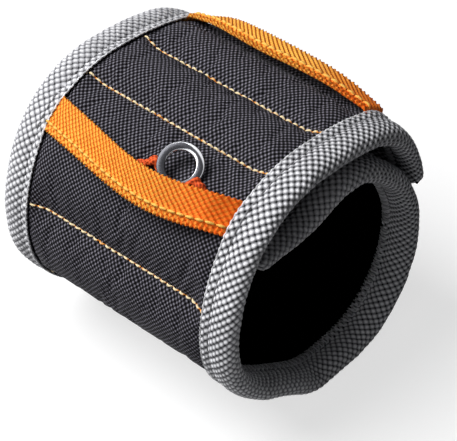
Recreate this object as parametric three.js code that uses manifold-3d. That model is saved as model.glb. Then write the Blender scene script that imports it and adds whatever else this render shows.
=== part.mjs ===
// Magnetic wristband: a padded fabric band, wound once round the wrist and past its own start.
// The band is modelled closed and lying on its side, its axis along Y, the near edge towards -Y.
// Every piece is placed along one wound centre line by a distance s, an offset n (outwards) and y.
import * as THREE from 'three';
import { mergeVertices } from 'three/addons/utils/BufferGeometryUtils.js';
import Module from 'manifold-3d';

const wasm = await Module();
wasm.setup();

// Driving dimensions, in millimetres
const bandWidth = 90;
const cuffRadius = 44;
const clearance = 0.3;
const overrun = 5;

// Layers of the band
const liningThickness = 0.8;
const skinThickness = 0.9;
const foamAtEdge = 1.7;
const panelCrown = 1.5;
const crownRunIn = 7;
const bindingThickness = 0.8;
const bindingLap = 10.5;
const bindingRound = 1.6;
const floorTrim = 0.25;

// Closure flap and inner flap
const flapThinDepth = 1.9;
const flapThinLength = 8;
const flapThickAt = 32;
const patchThickness = 0.8;
const hookLength = 40;
const hookWidth = 60;
const tuckThinLength = 12;
const tuckThickAt = 40;

// Magnets
const magnetDiameter = 12;
const magnetThickness = 1.6;
const magnetsPerRow = 3;
const magnetSeat = 0.45;

// Straps, keeper and split ring
const strapWidth = 10.5;
const strapThickness = 1.2;
const frontStrapSag = 3.9;
const frontStrapLift = 6.3;
const rearStrapLift = 3.4;
const keeperWidth = 2;
const keeperThickness = 1;
const keeperNearEnd = 26;
const keeperFarEnd = 1;
const keeperLift = 2.4;
const keeperWeave = 1.9;
const ringOuterDiameter = 13.4;
const ringWireWidth = 2.25;
const ringThickness = 1.6;

// The wound centre line: turn in degrees, anticlockwise from the top as the near edge shows it,
// and the radius there as a share of the cuff radius
const windShares = [
  [-80, 0.989], [-67, 0.998], [-45, 1.002], [-29, 0.986], [-14, 0.961], [0, 0.966], [14, 1.009],
  [29, 1.055], [45, 1.066], [59, 1.045], [75, 1.02], [90, 1.007], [105, 0.993], [119, 0.961],
  [135, 0.925], [150, 0.907], [162, 0.945], [170, 1.006], [176, 1.032], [182, 1.03], [190, 1.0455],
  [199, 1.089], [206, 1.112], [214, 1.116], [227, 1.09], [241, 1.039], [255, 0.964], [268, 0.898],
  [280, 0.838], [291, 0.8], [301, 0.762], [311, 0.741], [321, 0.728], [334, 0.722], [347, 0.693],
  [360, 0.664], [381, 0.641], [396, 0.733], [405, 0.845], [410, 0.935],
];

// Turns, in degrees, of the cross seams, of the straps and of the magnet rows
const seamTurns = { first: -31, closure: -7.5, second: 22.5, band: 76, fourth: 117, fifth: 160, sixth: 205, seventh: 239 };
const innerHingeTurn = 271;
const frontStrapTurn = 41;
const rearStrapTurn = -39;
const keeperTurn = 38.1;
const loopEndTurn = 398;
const ringTiltDegrees = 18;
const ringLeanDegrees = 4;

// Stations along a panel and across the band, as shares of the panel and of the half width
const panelShares = [0, 0.06, 0.16, 0.3, 0.5, 0.7, 0.84, 0.94, 1];
const padShares = [0.06, 0.16, 0.3, 0.5, 0.7, 0.84, 0.94];
const flatSteps = 10;
const tuckSteps = 24;
const bulgePower = 3.2;
const holeSides = 16;
const ringSides = 28;
const strapSteps = 18;

const halfWidth = bandWidth / 2;
const clothHalfWidth = halfWidth - bindingThickness - clearance;
const lapEdge = halfWidth - bindingLap;
const padHalfWidth = clothHalfWidth - bindingLap / 2;
const magnetPitch = (bandWidth - 2 * magnetDiameter) / magnetsPerRow;
const ringHoleDiameter = ringOuterDiameter - 2 * ringWireWidth;
const liningTop = -(foamAtEdge / 2 + clearance + liningThickness / 2);
const liningBottom = liningTop - liningThickness;
const padBottom = liningTop + clearance;
const skinAtEdge = padBottom + foamAtEdge + clearance;
const bindingBottom = liningBottom - clearance - bindingThickness;

// Build the centre line as a dense polyline with its length along it
const radians = THREE.MathUtils.degToRad;
const windCurve = new THREE.CatmullRomCurve3(
  windShares.map(([turn, share]) => new THREE.Vector3(
    -Math.sin(radians(turn)) * share * cuffRadius, 0, Math.cos(radians(turn)) * share * cuffRadius)),
  false, 'centripetal');
const lineSteps = 1600;
windCurve.arcLengthDivisions = lineSteps;
const bandLength = windCurve.getLength();
const line = windCurve.getSpacedPoints(lineSteps);

function placeAt(s) {
  const at = (s / bandLength) * lineSteps;
  const low = Math.min(Math.max(Math.floor(at), 0), lineSteps - 1);
  const point = line[low].clone().lerp(line[low + 1], at - low);
  const before = line[Math.max(low - 2, 0)];
  const after = line[Math.min(low + 3, lineSteps)];
  const along = after.clone().sub(before).normalize();
  const out = new THREE.Vector3(along.z, 0, -along.x);
  return { point, along, out };
}

function pointAt(s, y, n) {
  const { point, out } = placeAt(s);
  return point.addScaledVector(out, n).setY(y);
}

// The distance along the band at which the line has made a turn
function distanceAtTurn(turn) {
  let wound = windShares[0][0];
  let last = Math.atan2(-line[0].x, line[0].z);
  for (let i = 1; i <= lineSteps; i += 1) {
    const angle = Math.atan2(-line[i].x, line[i].z);
    let step = angle - last;
    if (step > Math.PI) step -= 2 * Math.PI;
    if (step < -Math.PI) step += 2 * Math.PI;
    wound += THREE.MathUtils.radToDeg(step);
    last = angle;
    if (wound >= turn) return (i / lineSteps) * bandLength;
  }
  return bandLength;
}

const firstSeam = distanceAtTurn(seamTurns.first);
const closureSeam = distanceAtTurn(seamTurns.closure);
const secondSeam = distanceAtTurn(seamTurns.second);
const bandSeam = distanceAtTurn(seamTurns.band);
const fourthSeam = distanceAtTurn(seamTurns.fourth);
const fifthSeam = distanceAtTurn(seamTurns.fifth);
const sixthSeam = distanceAtTurn(seamTurns.sixth);
const seventhSeam = distanceAtTurn(seamTurns.seventh);
const innerHinge = distanceAtTurn(innerHingeTurn);
const rearStrapPlace = distanceAtTurn(rearStrapTurn);
const frontStrapPlace = distanceAtTurn(frontStrapTurn);
const loopEnd = distanceAtTurn(loopEndTurn);

// Panels: from seam to seam, each with the body that it belongs to and its crown
const panels = [
  { name: 'tip', from: 0, to: firstSeam, crown: 0 },
  { name: 'flap', from: firstSeam, to: closureSeam, crown: panelCrown },
  { name: 'top', from: closureSeam, to: secondSeam, crown: panelCrown },
  { name: 'strap', from: secondSeam, to: bandSeam, crown: panelCrown },
  { name: 'left', from: bandSeam, to: fourthSeam, crown: panelCrown },
  { name: 'lower', from: fourthSeam, to: fifthSeam, crown: panelCrown },
  { name: 'bottom', from: fifthSeam, to: sixthSeam, crown: panelCrown },
  { name: 'right', from: sixthSeam, to: seventhSeam, crown: panelCrown },
  { name: 'side', from: seventhSeam, to: innerHinge, crown: panelCrown },
  { name: 'inner', from: innerHinge, to: bandLength, crown: 0 },
];

function smooth(value) {
  const t = THREE.MathUtils.clamp(value, 0, 1);
  return t * t * (3 - 2 * t);
}

// How much thinner the band is near its two ends, where it holds no foam
function thinning(s) {
  const flap = 1 - smooth((s - flapThinLength) / (flapThickAt - flapThinLength));
  const fromTuck = bandLength - s;
  const tuck = 1 - smooth((fromTuck - tuckThinLength) / (tuckThickAt - tuckThinLength));
  return flapThinDepth * Math.max(flap, tuck);
}

// The underside of the outer fabric: flat at the bound edges, crowned between the sewn channels
function skinBottom(s, y) {
  const edge = skinAtEdge - thinning(s);
  const panel = panels.find((p) => s <= p.to + clearance) ?? panels[panels.length - 1];
  const share = THREE.MathUtils.clamp((s - panel.from) / (panel.to - panel.from), 0, 1);
  const inside = smooth((lapEdge - Math.abs(y)) / crownRunIn);
  const isTip = panel.name === 'tip';
  const isInner = panel.name === 'inner';
  let bulge = 1 - Math.abs(2 * share - 1) ** bulgePower;
  if (isTip) bulge = 1 - smooth((share - panelShares[6]) / (1 - panelShares[6]));
  if (isInner) bulge = smooth(share / (1 - panelShares[6]) / 2);
  const sewn = padBottom;
  const crowned = sewn + (edge - sewn + panel.crown) * bulge;
  return THREE.MathUtils.lerp(edge, crowned, inside);
}

const skinTop = (s, y) => skinBottom(s, y) + skinThickness;
const bindingTop = (s) => skinAtEdge - thinning(s) + skinThickness + clearance + bindingThickness;

// Stations along the band between two places, following the panels' own shares
function stations(from, to) {
  const list = [from];
  for (const panel of panels) {
    const length = panel.to - panel.from;
    let shares = panelShares;
    if (panel.name === 'tip') shares = Array.from({ length: flatSteps + 1 }, (_, i) => i / flatSteps);
    if (panel.name === 'inner') shares = Array.from({ length: tuckSteps + 1 }, (_, i) => i / tuckSteps);
    for (const share of shares) list.push(panel.from + share * length);
  }
  list.push(to);
  const near = list.filter((s) => s >= from && s <= to).sort((a, b) => a - b);
  return near.filter((s, i) => i === 0 || s - near[i - 1] > clearance * 2 || s === to)
    .filter((s, i, all) => s === to || i === 0 || to - s > clearance * 2);
}

// A closed mesh from rings of points: each ring is a closed loop, the first and last are capped
function loft(rings) {
  const count = rings[0].length;
  const positions = rings.flatMap((ring) => ring.flatMap((p) => [p.x, p.y, p.z]));
  const index = [];
  for (let r = 0; r < rings.length - 1; r += 1) {
    for (let i = 0; i < count; i += 1) {
      const j = (i + 1) % count;
      const a = r * count + i;
      const b = r * count + j;
      index.push(a, b, b + count, a, b + count, a + count);
    }
  }
  return { positions, index, count, rings: rings.length };
}

// Cap an end ring made of an outer run and an inner run of the same length, matched in pairs
function capPairs(mesh, ring, reversed) {
  const half = mesh.count / 2;
  const at = (i) => ring * mesh.count + i;
  for (let i = 0; i < half - 1; i += 1) {
    const a = at(i);
    const b = at(i + 1);
    const c = at(mesh.count - 2 - i);
    const d = at(mesh.count - 1 - i);
    if (reversed) mesh.index.push(a, c, b, a, d, c);
    else mesh.index.push(a, b, c, a, c, d);
  }
}

function toGeometry(mesh) {
  const geometry = new THREE.BufferGeometry();
  geometry.setAttribute('position', new THREE.Float32BufferAttribute(mesh.positions, 3));
  geometry.setIndex(mesh.index);
  return outward(geometry);
}

function signedVolume(geometry) {
  const p = geometry.attributes.position;
  const idx = geometry.index.array;
  const [a, b, c] = [new THREE.Vector3(), new THREE.Vector3(), new THREE.Vector3()];
  let volume = 0;
  for (let i = 0; i < idx.length; i += 3) {
    a.fromBufferAttribute(p, idx[i]);
    b.fromBufferAttribute(p, idx[i + 1]);
    c.fromBufferAttribute(p, idx[i + 2]);
    volume += a.dot(b.cross(c)) / 6;
  }
  return volume;
}

function outward(geometry) {
  if (signedVolume(geometry) < 0) {
    const idx = geometry.index.array;
    for (let i = 0; i < idx.length; i += 3) [idx[i + 1], idx[i + 2]] = [idx[i + 2], idx[i + 1]];
  }
  return geometry;
}

// A cross-section (outer run, then inner run back) swept along the band
function sweepAlong(places, outerRun, innerRun) {
  const rings = places.map((s) => [...outerRun(s), ...innerRun(s).reverse()].map(([y, n]) => pointAt(s, y, n)));
  const mesh = loft(rings);
  capPairs(mesh, 0, true);
  capPairs(mesh, rings.length - 1, false);
  return toGeometry(mesh);
}

// A layer of the band between two surfaces, with stations across it
function layer(from, to, across, bottom, top) {
  return sweepAlong(
    stations(from, to),
    (s) => across.map((y) => [y, top(s, y)]),
    (s) => across.map((y) => [y, bottom(s, y)]));
}

function acrossStations(half) {
  const inner = lapEdge - crownRunIn;
  const list = [half, lapEdge, (lapEdge + inner) / 2, inner, 0];
  const kept = list.filter((y) => y <= half);
  return [...kept.map((y) => -y), ...kept.slice(0, -1).reverse()];
}

// Webbing folded over one long edge, side -1 near or 1 far
function bindingRuns(s, side) {
  const top = bindingTop(s);
  const bottom = bindingBottom;
  const wall = halfWidth;
  const soft = bindingRound;
  const inWall = wall - bindingThickness;
  const outer = [
    [lapEdge, top], [wall - soft, top], [wall, top - soft],
    [wall, bottom + soft], [wall - soft, bottom], [lapEdge, bottom],
  ];
  const low = bottom + bindingThickness;
  const high = top - bindingThickness;
  const inner = [
    [lapEdge, high], [inWall - clearance / 2, high], [inWall, high - clearance / 2],
    [inWall, low + clearance / 2], [inWall - clearance / 2, low], [lapEdge, low],
  ];
  return { outer: outer.map(([y, n]) => [side * y, n]), inner: inner.map(([y, n]) => [side * y, n]) };
}

function binding(from, to, side) {
  return sweepAlong(stations(from, to), (s) => bindingRuns(s, side).outer, (s) => bindingRuns(s, side).inner);
}

// Webbing folded over an end of the band, running across between the two long bindings
function endBinding(end, direction) {
  const wall = end - direction * (clearance + bindingThickness);
  const inWall = end - direction * clearance;
  const lap = end + direction * bindingLap;
  const top = bindingTop(lap);
  const tip = bindingTop(end);
  const bottom = bindingBottom;
  const soft = clearance;
  const outer = [
    [lap, top], [end, tip], [wall + direction * soft, tip - clearance], [wall, tip - soft - clearance],
    [wall, bottom + soft], [wall + direction * soft, bottom], [end, bottom], [lap, bottom],
  ];
  const low = bottom + bindingThickness;
  const inner = [
    [lap, top - bindingThickness], [end, tip - bindingThickness], [inWall, tip - bindingThickness],
    [inWall, tip - bindingThickness - clearance / 2], [inWall, low + clearance / 2], [inWall, low],
    [end, low], [lap, low],
  ];
  const loop = [...outer, ...inner.reverse()];
  const span = lapEdge - clearance;
  const rings = [-span, span].map((y) => loop.map(([s, n]) => endPoint(s, y, n)));
  const mesh = loft(rings);
  capPairs(mesh, 0, true);
  capPairs(mesh, 1, false);
  return toGeometry(mesh);
}

// A point past either end of the line lies on the straight run out of it
function endPoint(s, y, n) {
  const held = THREE.MathUtils.clamp(s, 0, bandLength);
  const { along } = placeAt(held);
  return pointAt(held, y, n).addScaledVector(along, s - held);
}

// Solids for cutting
function solidOf(geometry) {
  const bare = geometry.clone();
  bare.deleteAttribute('normal');
  bare.deleteAttribute('uv');
  const merged = mergeVertices(bare);
  return new wasm.Manifold(new wasm.Mesh({
    numProp: 3,
    vertProperties: new Float32Array(merged.attributes.position.array),
    triVerts: new Uint32Array(merged.index.array),
  }));
}

function geometryOf(solid) {
  const mesh = solid.getMesh();
  const geometry = new THREE.BufferGeometry();
  geometry.setAttribute('position', new THREE.BufferAttribute(mesh.vertProperties, 3));
  geometry.setIndex(new THREE.BufferAttribute(mesh.triVerts, 1));
  return geometry;
}

// A round piece standing on the band at a place, its axis along the outward direction
function roundAt(s, y, n, diameter, height) {
  const geometry = new THREE.CylinderGeometry(diameter / 2, diameter / 2, height, holeSides);
  const { out, along } = placeAt(s);
  const frame = new THREE.Matrix4().makeBasis(along, out, new THREE.Vector3().crossVectors(along, out));
  frame.setPosition(pointAt(s, y, n));
  return geometry.applyMatrix4(frame);
}

const magnetRow = Array.from({ length: magnetsPerRow }, (_, i) => (i - (magnetsPerRow - 1) / 2) * magnetPitch);
const magnetCentre = padBottom + magnetSeat + magnetThickness / 2;

// A foam pad, with a round pocket through it for each magnet of its row
function pad(from, to, rowPlace) {
  const across = acrossStations(padHalfWidth);
  let geometry = layer(from, to, across, () => padBottom, (s, y) => skinBottom(s, y) - clearance);
  if (rowPlace !== undefined) {
    let solid = solidOf(geometry);
    for (const y of magnetRow) {
      const pocket = magnetDiameter + 2 * clearance;
      solid = solid.subtract(solidOf(roundAt(rowPlace, y, magnetCentre, pocket, foamAtEdge + panelCrown + overrun)));
    }
    geometry = geometryOf(solid);
  }
  return geometry;
}

const magnet = (rowPlace, y) => roundAt(rowPlace, y, magnetCentre, magnetDiameter, magnetThickness);

// A strap across the band: a flat strip that sags along the band and stands off in the middle
function strap(place, sag, lift) {
  const reach = lapEdge - clearance;
  const rings = [];
  for (let i = 0; i <= strapSteps; i += 1) {
    const y = -reach + (2 * reach * i) / strapSteps;
    const bow = Math.cos((Math.PI / 2) * (y / reach));
    const s = place + sag * bow;
    const { along, out } = placeAt(s);
    const half = strapWidth / 2;
    const seat = Math.max(skinTop(s - half, y), skinTop(s, y), skinTop(s + half, y));
    const fall = half ** 2 / 2 / cuffRadius;
    const n = seat + clearance + fall + lift * bow;
    const centre = pointAt(s, y, n);
    const corner = (a, o) => centre.clone().addScaledVector(along, a).addScaledVector(out, o);
    rings.push([corner(-half, strapThickness), corner(half, strapThickness), corner(half, 0), corner(-half, 0)]);
  }
  const mesh = loft(rings);
  capPairs(mesh, 0, true);
  capPairs(mesh, rings.length - 1, false);
  return toGeometry(mesh);
}

// The keeper: a narrow webbing loop along Y, arched off the fabric, that the split ring hangs on
const keeperPlace = distanceAtTurn(keeperTurn);
const keeperMiddle = (keeperFarEnd - keeperNearEnd) / 2;
const keeperReach = (keeperFarEnd + keeperNearEnd) / 2;

// The loop passes under the ring's far limb and over its near limb
function keeperHeight(y) {
  const limb = (ringOuterDiameter + ringHoleDiameter) / 4;
  const bow = Math.max(Math.cos((Math.PI / 2) * ((y - keeperMiddle) / keeperReach)), 0);
  const weave = Math.sin((Math.PI / 2) * THREE.MathUtils.clamp((keeperMiddle - y) / limb, -1, 1));
  const seat = skinTop(keeperPlace, keeperMiddle) * bow + skinTop(keeperPlace, y) * (1 - bow);
  return seat + clearance + keeperLift * Math.sqrt(bow) + keeperWeave * weave * bow;
}

function keeper() {
  const rings = [];
  for (let i = 0; i <= strapSteps; i += 1) {
    const y = -keeperNearEnd + (2 * keeperReach * i) / strapSteps;
    const { along, out } = placeAt(keeperPlace);
    const centre = pointAt(keeperPlace, y, keeperHeight(y));
    const half = keeperWidth / 2;
    const corner = (a, o) => centre.clone().addScaledVector(along, a).addScaledVector(out, o);
    rings.push([corner(-half, keeperThickness), corner(half, keeperThickness), corner(half, 0), corner(-half, 0)]);
  }
  const mesh = loft(rings);
  capPairs(mesh, 0, true);
  capPairs(mesh, rings.length - 1, false);
  return toGeometry(mesh);
}

// The split ring: a flat ring that leans across the keeper
function splitRing() {
  const outerRadius = ringOuterDiameter / 2;
  const holeRadius = ringHoleDiameter / 2;
  const soft = ringThickness / 5;
  const half = ringThickness / 2;
  const profile = [
    [holeRadius, -half + soft], [holeRadius + soft, -half], [outerRadius - soft, -half],
    [outerRadius, -half + soft], [outerRadius, half - soft], [outerRadius - soft, half],
    [holeRadius + soft, half], [holeRadius, half - soft], [holeRadius, -half + soft],
  ].map(([x, y]) => new THREE.Vector2(x, y));
  const ring = new THREE.LatheGeometry(profile, ringSides);
  ring.translate(-((ringHoleDiameter - keeperWidth) / 2 - clearance), 0, 0);
  ring.rotateX(-radians(ringTiltDegrees));
  ring.rotateZ(radians(ringLeanDegrees));
  const { along, out } = placeAt(keeperPlace);
  const frame = new THREE.Matrix4().makeBasis(along, out, new THREE.Vector3().crossVectors(along, out));
  frame.setPosition(pointAt(keeperPlace, keeperMiddle, keeperHeight(keeperMiddle) + keeperThickness / 2));
  ring.applyMatrix4(frame);
  return geometryOf(solidOf(ring));
}

// Everything that meets the floor is cut flat on one plane
const floorPlace = distanceAtTurn((seamTurns.fifth + seamTurns.sixth) / 2 + 5);
const floorLevel = Math.min(pointAt(floorPlace, 0, bindingTop(floorPlace)).z) + floorTrim;

function trimAtFloor(geometry) {
  const cutter = new THREE.BoxGeometry(4 * cuffRadius, 2 * bandWidth, overrun);
  cutter.translate(0, 0, floorLevel - overrun / 2);
  const trimmed = solidOf(geometry).subtract(solidOf(cutter));
  return geometryOf(trimmed);
}

// Materials
const finish = (color, roughness, metalness) => ({ color, roughness, metalness });
const shellCloth = finish(0x26262a, 0.9, 0);
const liningCloth = finish(0x17171a, 0.95, 0);
const foam = finish(0x3c3c40, 1, 0);
const webbingGrey = finish(0x8a8a90, 0.9, 0);
const webbingOrange = finish(0xf2861e, 0.85, 0);
const webbingRed = finish(0xdd4f22, 0.85, 0);
const hookTape = finish(0x202022, 0.95, 0);
const steel = finish(0xc9ccd0, 0.25, 1);
const magnetMetal = finish(0x9a9ca0, 0.35, 1);

const band = new THREE.Group();

function add(name, geometry, look) {
  const mesh = new THREE.Mesh(geometry, new THREE.MeshStandardMaterial(look));
  mesh.name = name;
  band.add(mesh);
}

const joint = clearance;
const clothAcross = acrossStations(clothHalfWidth);
const plainAcross = [-clothHalfWidth, clothHalfWidth];

function cloth(from, to) {
  return layer(from, to, clothAcross, skinBottom, skinTop);
}

function lining(from, to) {
  return layer(from, to, plainAcross, () => liningBottom, () => liningTop);
}

// The base: from the band seam down the left side, along the floor and up the right side
const baseFrom = bandSeam + joint;
const baseTo = innerHinge - joint;
add('outer_shell_base', trimAtFloor(cloth(baseFrom, baseTo)), shellCloth);
add('lining_base', lining(baseFrom, baseTo), liningCloth);
add('edge_binding_near_base', trimAtFloor(binding(baseFrom, baseTo, -1)), webbingGrey);
add('edge_binding_far_base', trimAtFloor(binding(baseFrom, baseTo, 1)), webbingGrey);

// The upper part, from the band seam over the left shoulder to the closure seam
const upperFrom = closureSeam + joint;
const upperTo = bandSeam - joint;
add('outer_shell_upper', cloth(upperFrom, upperTo), shellCloth);
add('lining_upper', lining(upperFrom, upperTo), liningCloth);
add('edge_binding_near_upper', binding(upperFrom, upperTo, -1), webbingGrey);
add('edge_binding_far_upper', binding(upperFrom, upperTo, 1), webbingGrey);

// The closure flap, from the closure seam to the outer end
const flapTo = closureSeam - joint;
add('outer_shell_flap', cloth(0, flapTo), shellCloth);
add('lining_flap', lining(0, flapTo), liningCloth);
add('edge_binding_near_flap', binding(0, flapTo, -1), webbingGrey);
add('edge_binding_far_flap', binding(0, flapTo, 1), webbingGrey);
add('end_binding_flap', endBinding(0, 1), webbingGrey);

// The inner flap, tucked under the closure flap
const innerFrom = innerHinge + joint;
add('outer_shell_inner', cloth(innerFrom, bandLength), shellCloth);
add('lining_inner', lining(innerFrom, bandLength), liningCloth);
add('edge_binding_near_inner', binding(innerFrom, bandLength, -1), webbingGrey);
add('edge_binding_far_inner', binding(innerFrom, bandLength, 1), webbingGrey);
add('end_binding_inner', endBinding(bandLength, -1), webbingGrey);

// Foam pads, one to a panel, and the rows of magnets that some of them hold
const middle = (panel) => (panel.from + panel.to) / 2;
const rowOf = { flap: 'first', top: 'second', left: 'third', bottom: 'fourth', right: 'fifth' };
for (const panel of panels.slice(1, -1)) {
  const length = panel.to - panel.from;
  const from = panel.from + padShares[0] * length;
  const to = panel.to - padShares[0] * length;
  const row = rowOf[panel.name];
  add(`foam_pad_${panel.name}`, pad(from, to, row ? middle(panel) : undefined), foam);
  if (row) magnetRow.forEach((y, i) => add(`magnet_${row}_row_${i + 1}`, magnet(middle(panel), y), magnetMetal));
}

const innerPadFrom = innerHinge + padShares[1] * (secondSeam - closureSeam);
add('foam_pad_inner', pad(innerPadFrom, bandLength - tuckThickAt), foam);

// Hook tape under the closure flap and loop tape on the inner flap
const patchAcross = [-hookWidth / 2, hookWidth / 2];
const hookFrom = bindingLap + clearance;
add('hook_patch', layer(hookFrom, hookFrom + hookLength, patchAcross,
  () => liningBottom - clearance - patchThickness, () => liningBottom - clearance), hookTape);
const loopFrom = innerPadFrom + bindingLap / 2;
add('loop_patch', layer(loopFrom, loopEnd - bindingLap / 2, patchAcross,
  (s, y) => skinTop(s, y) + clearance, (s, y) => skinTop(s, y) + clearance + patchThickness), hookTape);

// Straps, keeper loop and split ring
add('tool_strap_front', strap(frontStrapPlace, frontStrapSag, frontStrapLift), webbingOrange);
add('tool_strap_rear', strap(rearStrapPlace, 0, rearStrapLift), webbingOrange);
add('ring_keeper_loop', keeper(), webbingRed);
add('split_ring', splitRing(), steel);

// The origin is on the floor, under the middle of the band
const box = new THREE.Box3().setFromObject(band);
const centre = box.getCenter(new THREE.Vector3());
band.position.set(-centre.x, -centre.y, -box.min.z);

export default band;
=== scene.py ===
import math

import bpy
import numpy as np
from mathutils import Matrix, Vector


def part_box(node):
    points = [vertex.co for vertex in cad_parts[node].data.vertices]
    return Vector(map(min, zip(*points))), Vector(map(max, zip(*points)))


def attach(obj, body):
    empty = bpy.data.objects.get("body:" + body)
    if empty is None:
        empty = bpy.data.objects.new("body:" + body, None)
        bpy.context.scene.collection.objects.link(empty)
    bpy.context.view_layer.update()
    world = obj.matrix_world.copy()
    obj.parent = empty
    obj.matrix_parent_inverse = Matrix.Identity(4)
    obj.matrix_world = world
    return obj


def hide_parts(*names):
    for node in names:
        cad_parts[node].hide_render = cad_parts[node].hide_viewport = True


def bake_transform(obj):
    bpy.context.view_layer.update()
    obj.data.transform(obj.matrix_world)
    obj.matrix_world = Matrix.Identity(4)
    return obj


bl_info = {
    "name": "Magnetic wristband",
    "version": (1, 0, 0),
    "blender": (4, 5, 0),
    "location": "3D View > Sidebar > Wristband",
    "description": "Cloth, webbing, thread and metal of a padded magnetic wristband round its CAD frame",
    "category": "Object",
}

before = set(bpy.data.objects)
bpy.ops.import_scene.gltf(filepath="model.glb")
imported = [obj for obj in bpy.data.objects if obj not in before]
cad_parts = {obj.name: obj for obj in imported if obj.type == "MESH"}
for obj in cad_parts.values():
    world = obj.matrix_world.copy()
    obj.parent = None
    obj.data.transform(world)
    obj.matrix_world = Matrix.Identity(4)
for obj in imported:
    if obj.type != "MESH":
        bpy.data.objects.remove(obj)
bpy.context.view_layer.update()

MM = 0.001

# The wound centre line: turn in degrees, anticlockwise from the top as the near edge shows it,
# and the radius there as a share of the cuff radius
WIND_SHARES = (
    (-80, 0.989), (-67, 0.998), (-45, 1.002), (-29, 0.986), (-14, 0.961), (0, 0.966), (14, 1.009),
    (29, 1.055), (45, 1.066), (59, 1.045), (75, 1.02), (90, 1.007), (105, 0.993), (119, 0.961),
    (135, 0.925), (150, 0.907), (162, 0.945), (170, 1.006), (176, 1.032), (182, 1.03), (190, 1.0455),
    (199, 1.089), (206, 1.112), (214, 1.116), (227, 1.09), (241, 1.039), (255, 0.964), (268, 0.898),
    (280, 0.838), (291, 0.8), (301, 0.762), (311, 0.741), (321, 0.728), (334, 0.722), (347, 0.693),
    (360, 0.664), (381, 0.641), (396, 0.733), (405, 0.845), (410, 0.935),
)
# Turns, measured in the same way, of the seams between the panels, the two straps and the keeper loop
SEAM_TURNS = {
    "first": -31, "closure": -7.5, "second": 22.5, "band": 76,
    "fourth": 117, "fifth": 160, "sixth": 205, "seventh": 239, "inner": 271,
}
FRONT_STRAP_TURN = 41
REAR_STRAP_TURN = -39
KEEPER_TURN = 38.1
# The bulge under the rear strap: its turn, reach along the band and height
BULGE_TURN, BULGE_REACH, BULGE_HEIGHT = -42, 24 * MM, 5.6 * MM
# Turn past which the loop tape ends
LOOP_END_TURN = 398
# Where the band folds softly inwards: turns of its start and end, slope there, and how softly it is eased
DENT_TURNS, DENT_SLOPE, DENT_EASING = (118, 262), 10 * MM, 7 * MM
LINE_STEPS = 1600
# Where each end of the band begins to thicken, and over what length
FLAP_SLOPE, TUCK_SLOPE = (8 * MM, 24 * MM), (12 * MM, 28 * MM)
# A filled panel: how squarely it stands, its slope beside the binding and its tuck under it
PANEL_SQUARENESS, PANEL_SLOPE, PANEL_TUCK = 3.2, 7 * MM, 0.65 * MM

# Panels from seam to seam, and the four lengths that the band is made up in, with what each follows
PANEL_NAMES = ("tip", "flap", "top", "strap", "left", "lower", "bottom", "right", "side", "inner")
FLAT_PANELS = ("tip", "inner")
SECTIONS = ("flap", "upper", "base", "inner")
HINGE_REACH = 3 * MM


def smooth(value):
    """A soft step from 0 to 1."""
    t = np.clip(value, 0.0, 1.0)
    return t * t * (3.0 - 2.0 * t)


def hump(distance, width):
    """1 at no distance, falling off softly over the width."""
    return np.exp(-((distance / width) ** 2))


def quarter_round(share):
    """A quarter of a circle: 0 at its foot, 1 where it levels off."""
    return np.sqrt(np.clip(1 - (1 - np.clip(share, 0, 1)) ** 2, 0, 1))


def unit(vectors):
    """The vectors at length 1."""
    return vectors / np.maximum(np.linalg.norm(vectors, axis=-1, keepdims=True), 1e-12)


def nearest(places, value):
    """Index of the place nearest to the value."""
    return int(np.argmin(np.abs(places - value)))


def between(places, stops, rows):
    """The rows' values at places between their stops."""
    return np.stack([np.interp(places, stops, column) for column in rows.T], -1)


def gone_along(points):
    """Distance gone along a row of points, from its first."""
    return np.concatenate([[0], np.cumsum(np.linalg.norm(np.diff(points, axis=0), axis=1))])


def ripple(x, seed, longest):
    """A smooth random wave along x, between about -1 and 1, whose longest swing is the given length."""
    draw = np.random.default_rng(seed)
    total = np.zeros_like(x)
    for octave in range(5):
        length = longest / 1.6**octave
        total = total + np.sin(2 * np.pi * x / length + draw.uniform(0, 2 * np.pi)) * 0.72**octave
    return total / 2.4


def curve_parts(rows, steps):
    """The four rows beside each step of a curve through the rows, and how far it is past the second."""
    rows = np.asarray(rows, float)
    ends = np.vstack([2 * rows[0] - rows[1], rows, 2 * rows[-1] - rows[-2]])
    at = np.linspace(0, len(rows) - 1, steps)
    i = np.minimum(at.astype(int), len(rows) - 2)
    return [ends[i + k] for k in range(4)], (at - i)[:, None]


def curve_through(rows, steps):
    """Points of a smooth curve through the rows, evenly spaced in its own parameter."""
    (a, b, c, d), f = curve_parts(rows, steps)
    return 0.5 * (2 * b + (c - a) * f + (2 * a - 5 * b + 4 * c - d) * f**2 + (3 * b - a - 3 * c + d) * f**3)


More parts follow.
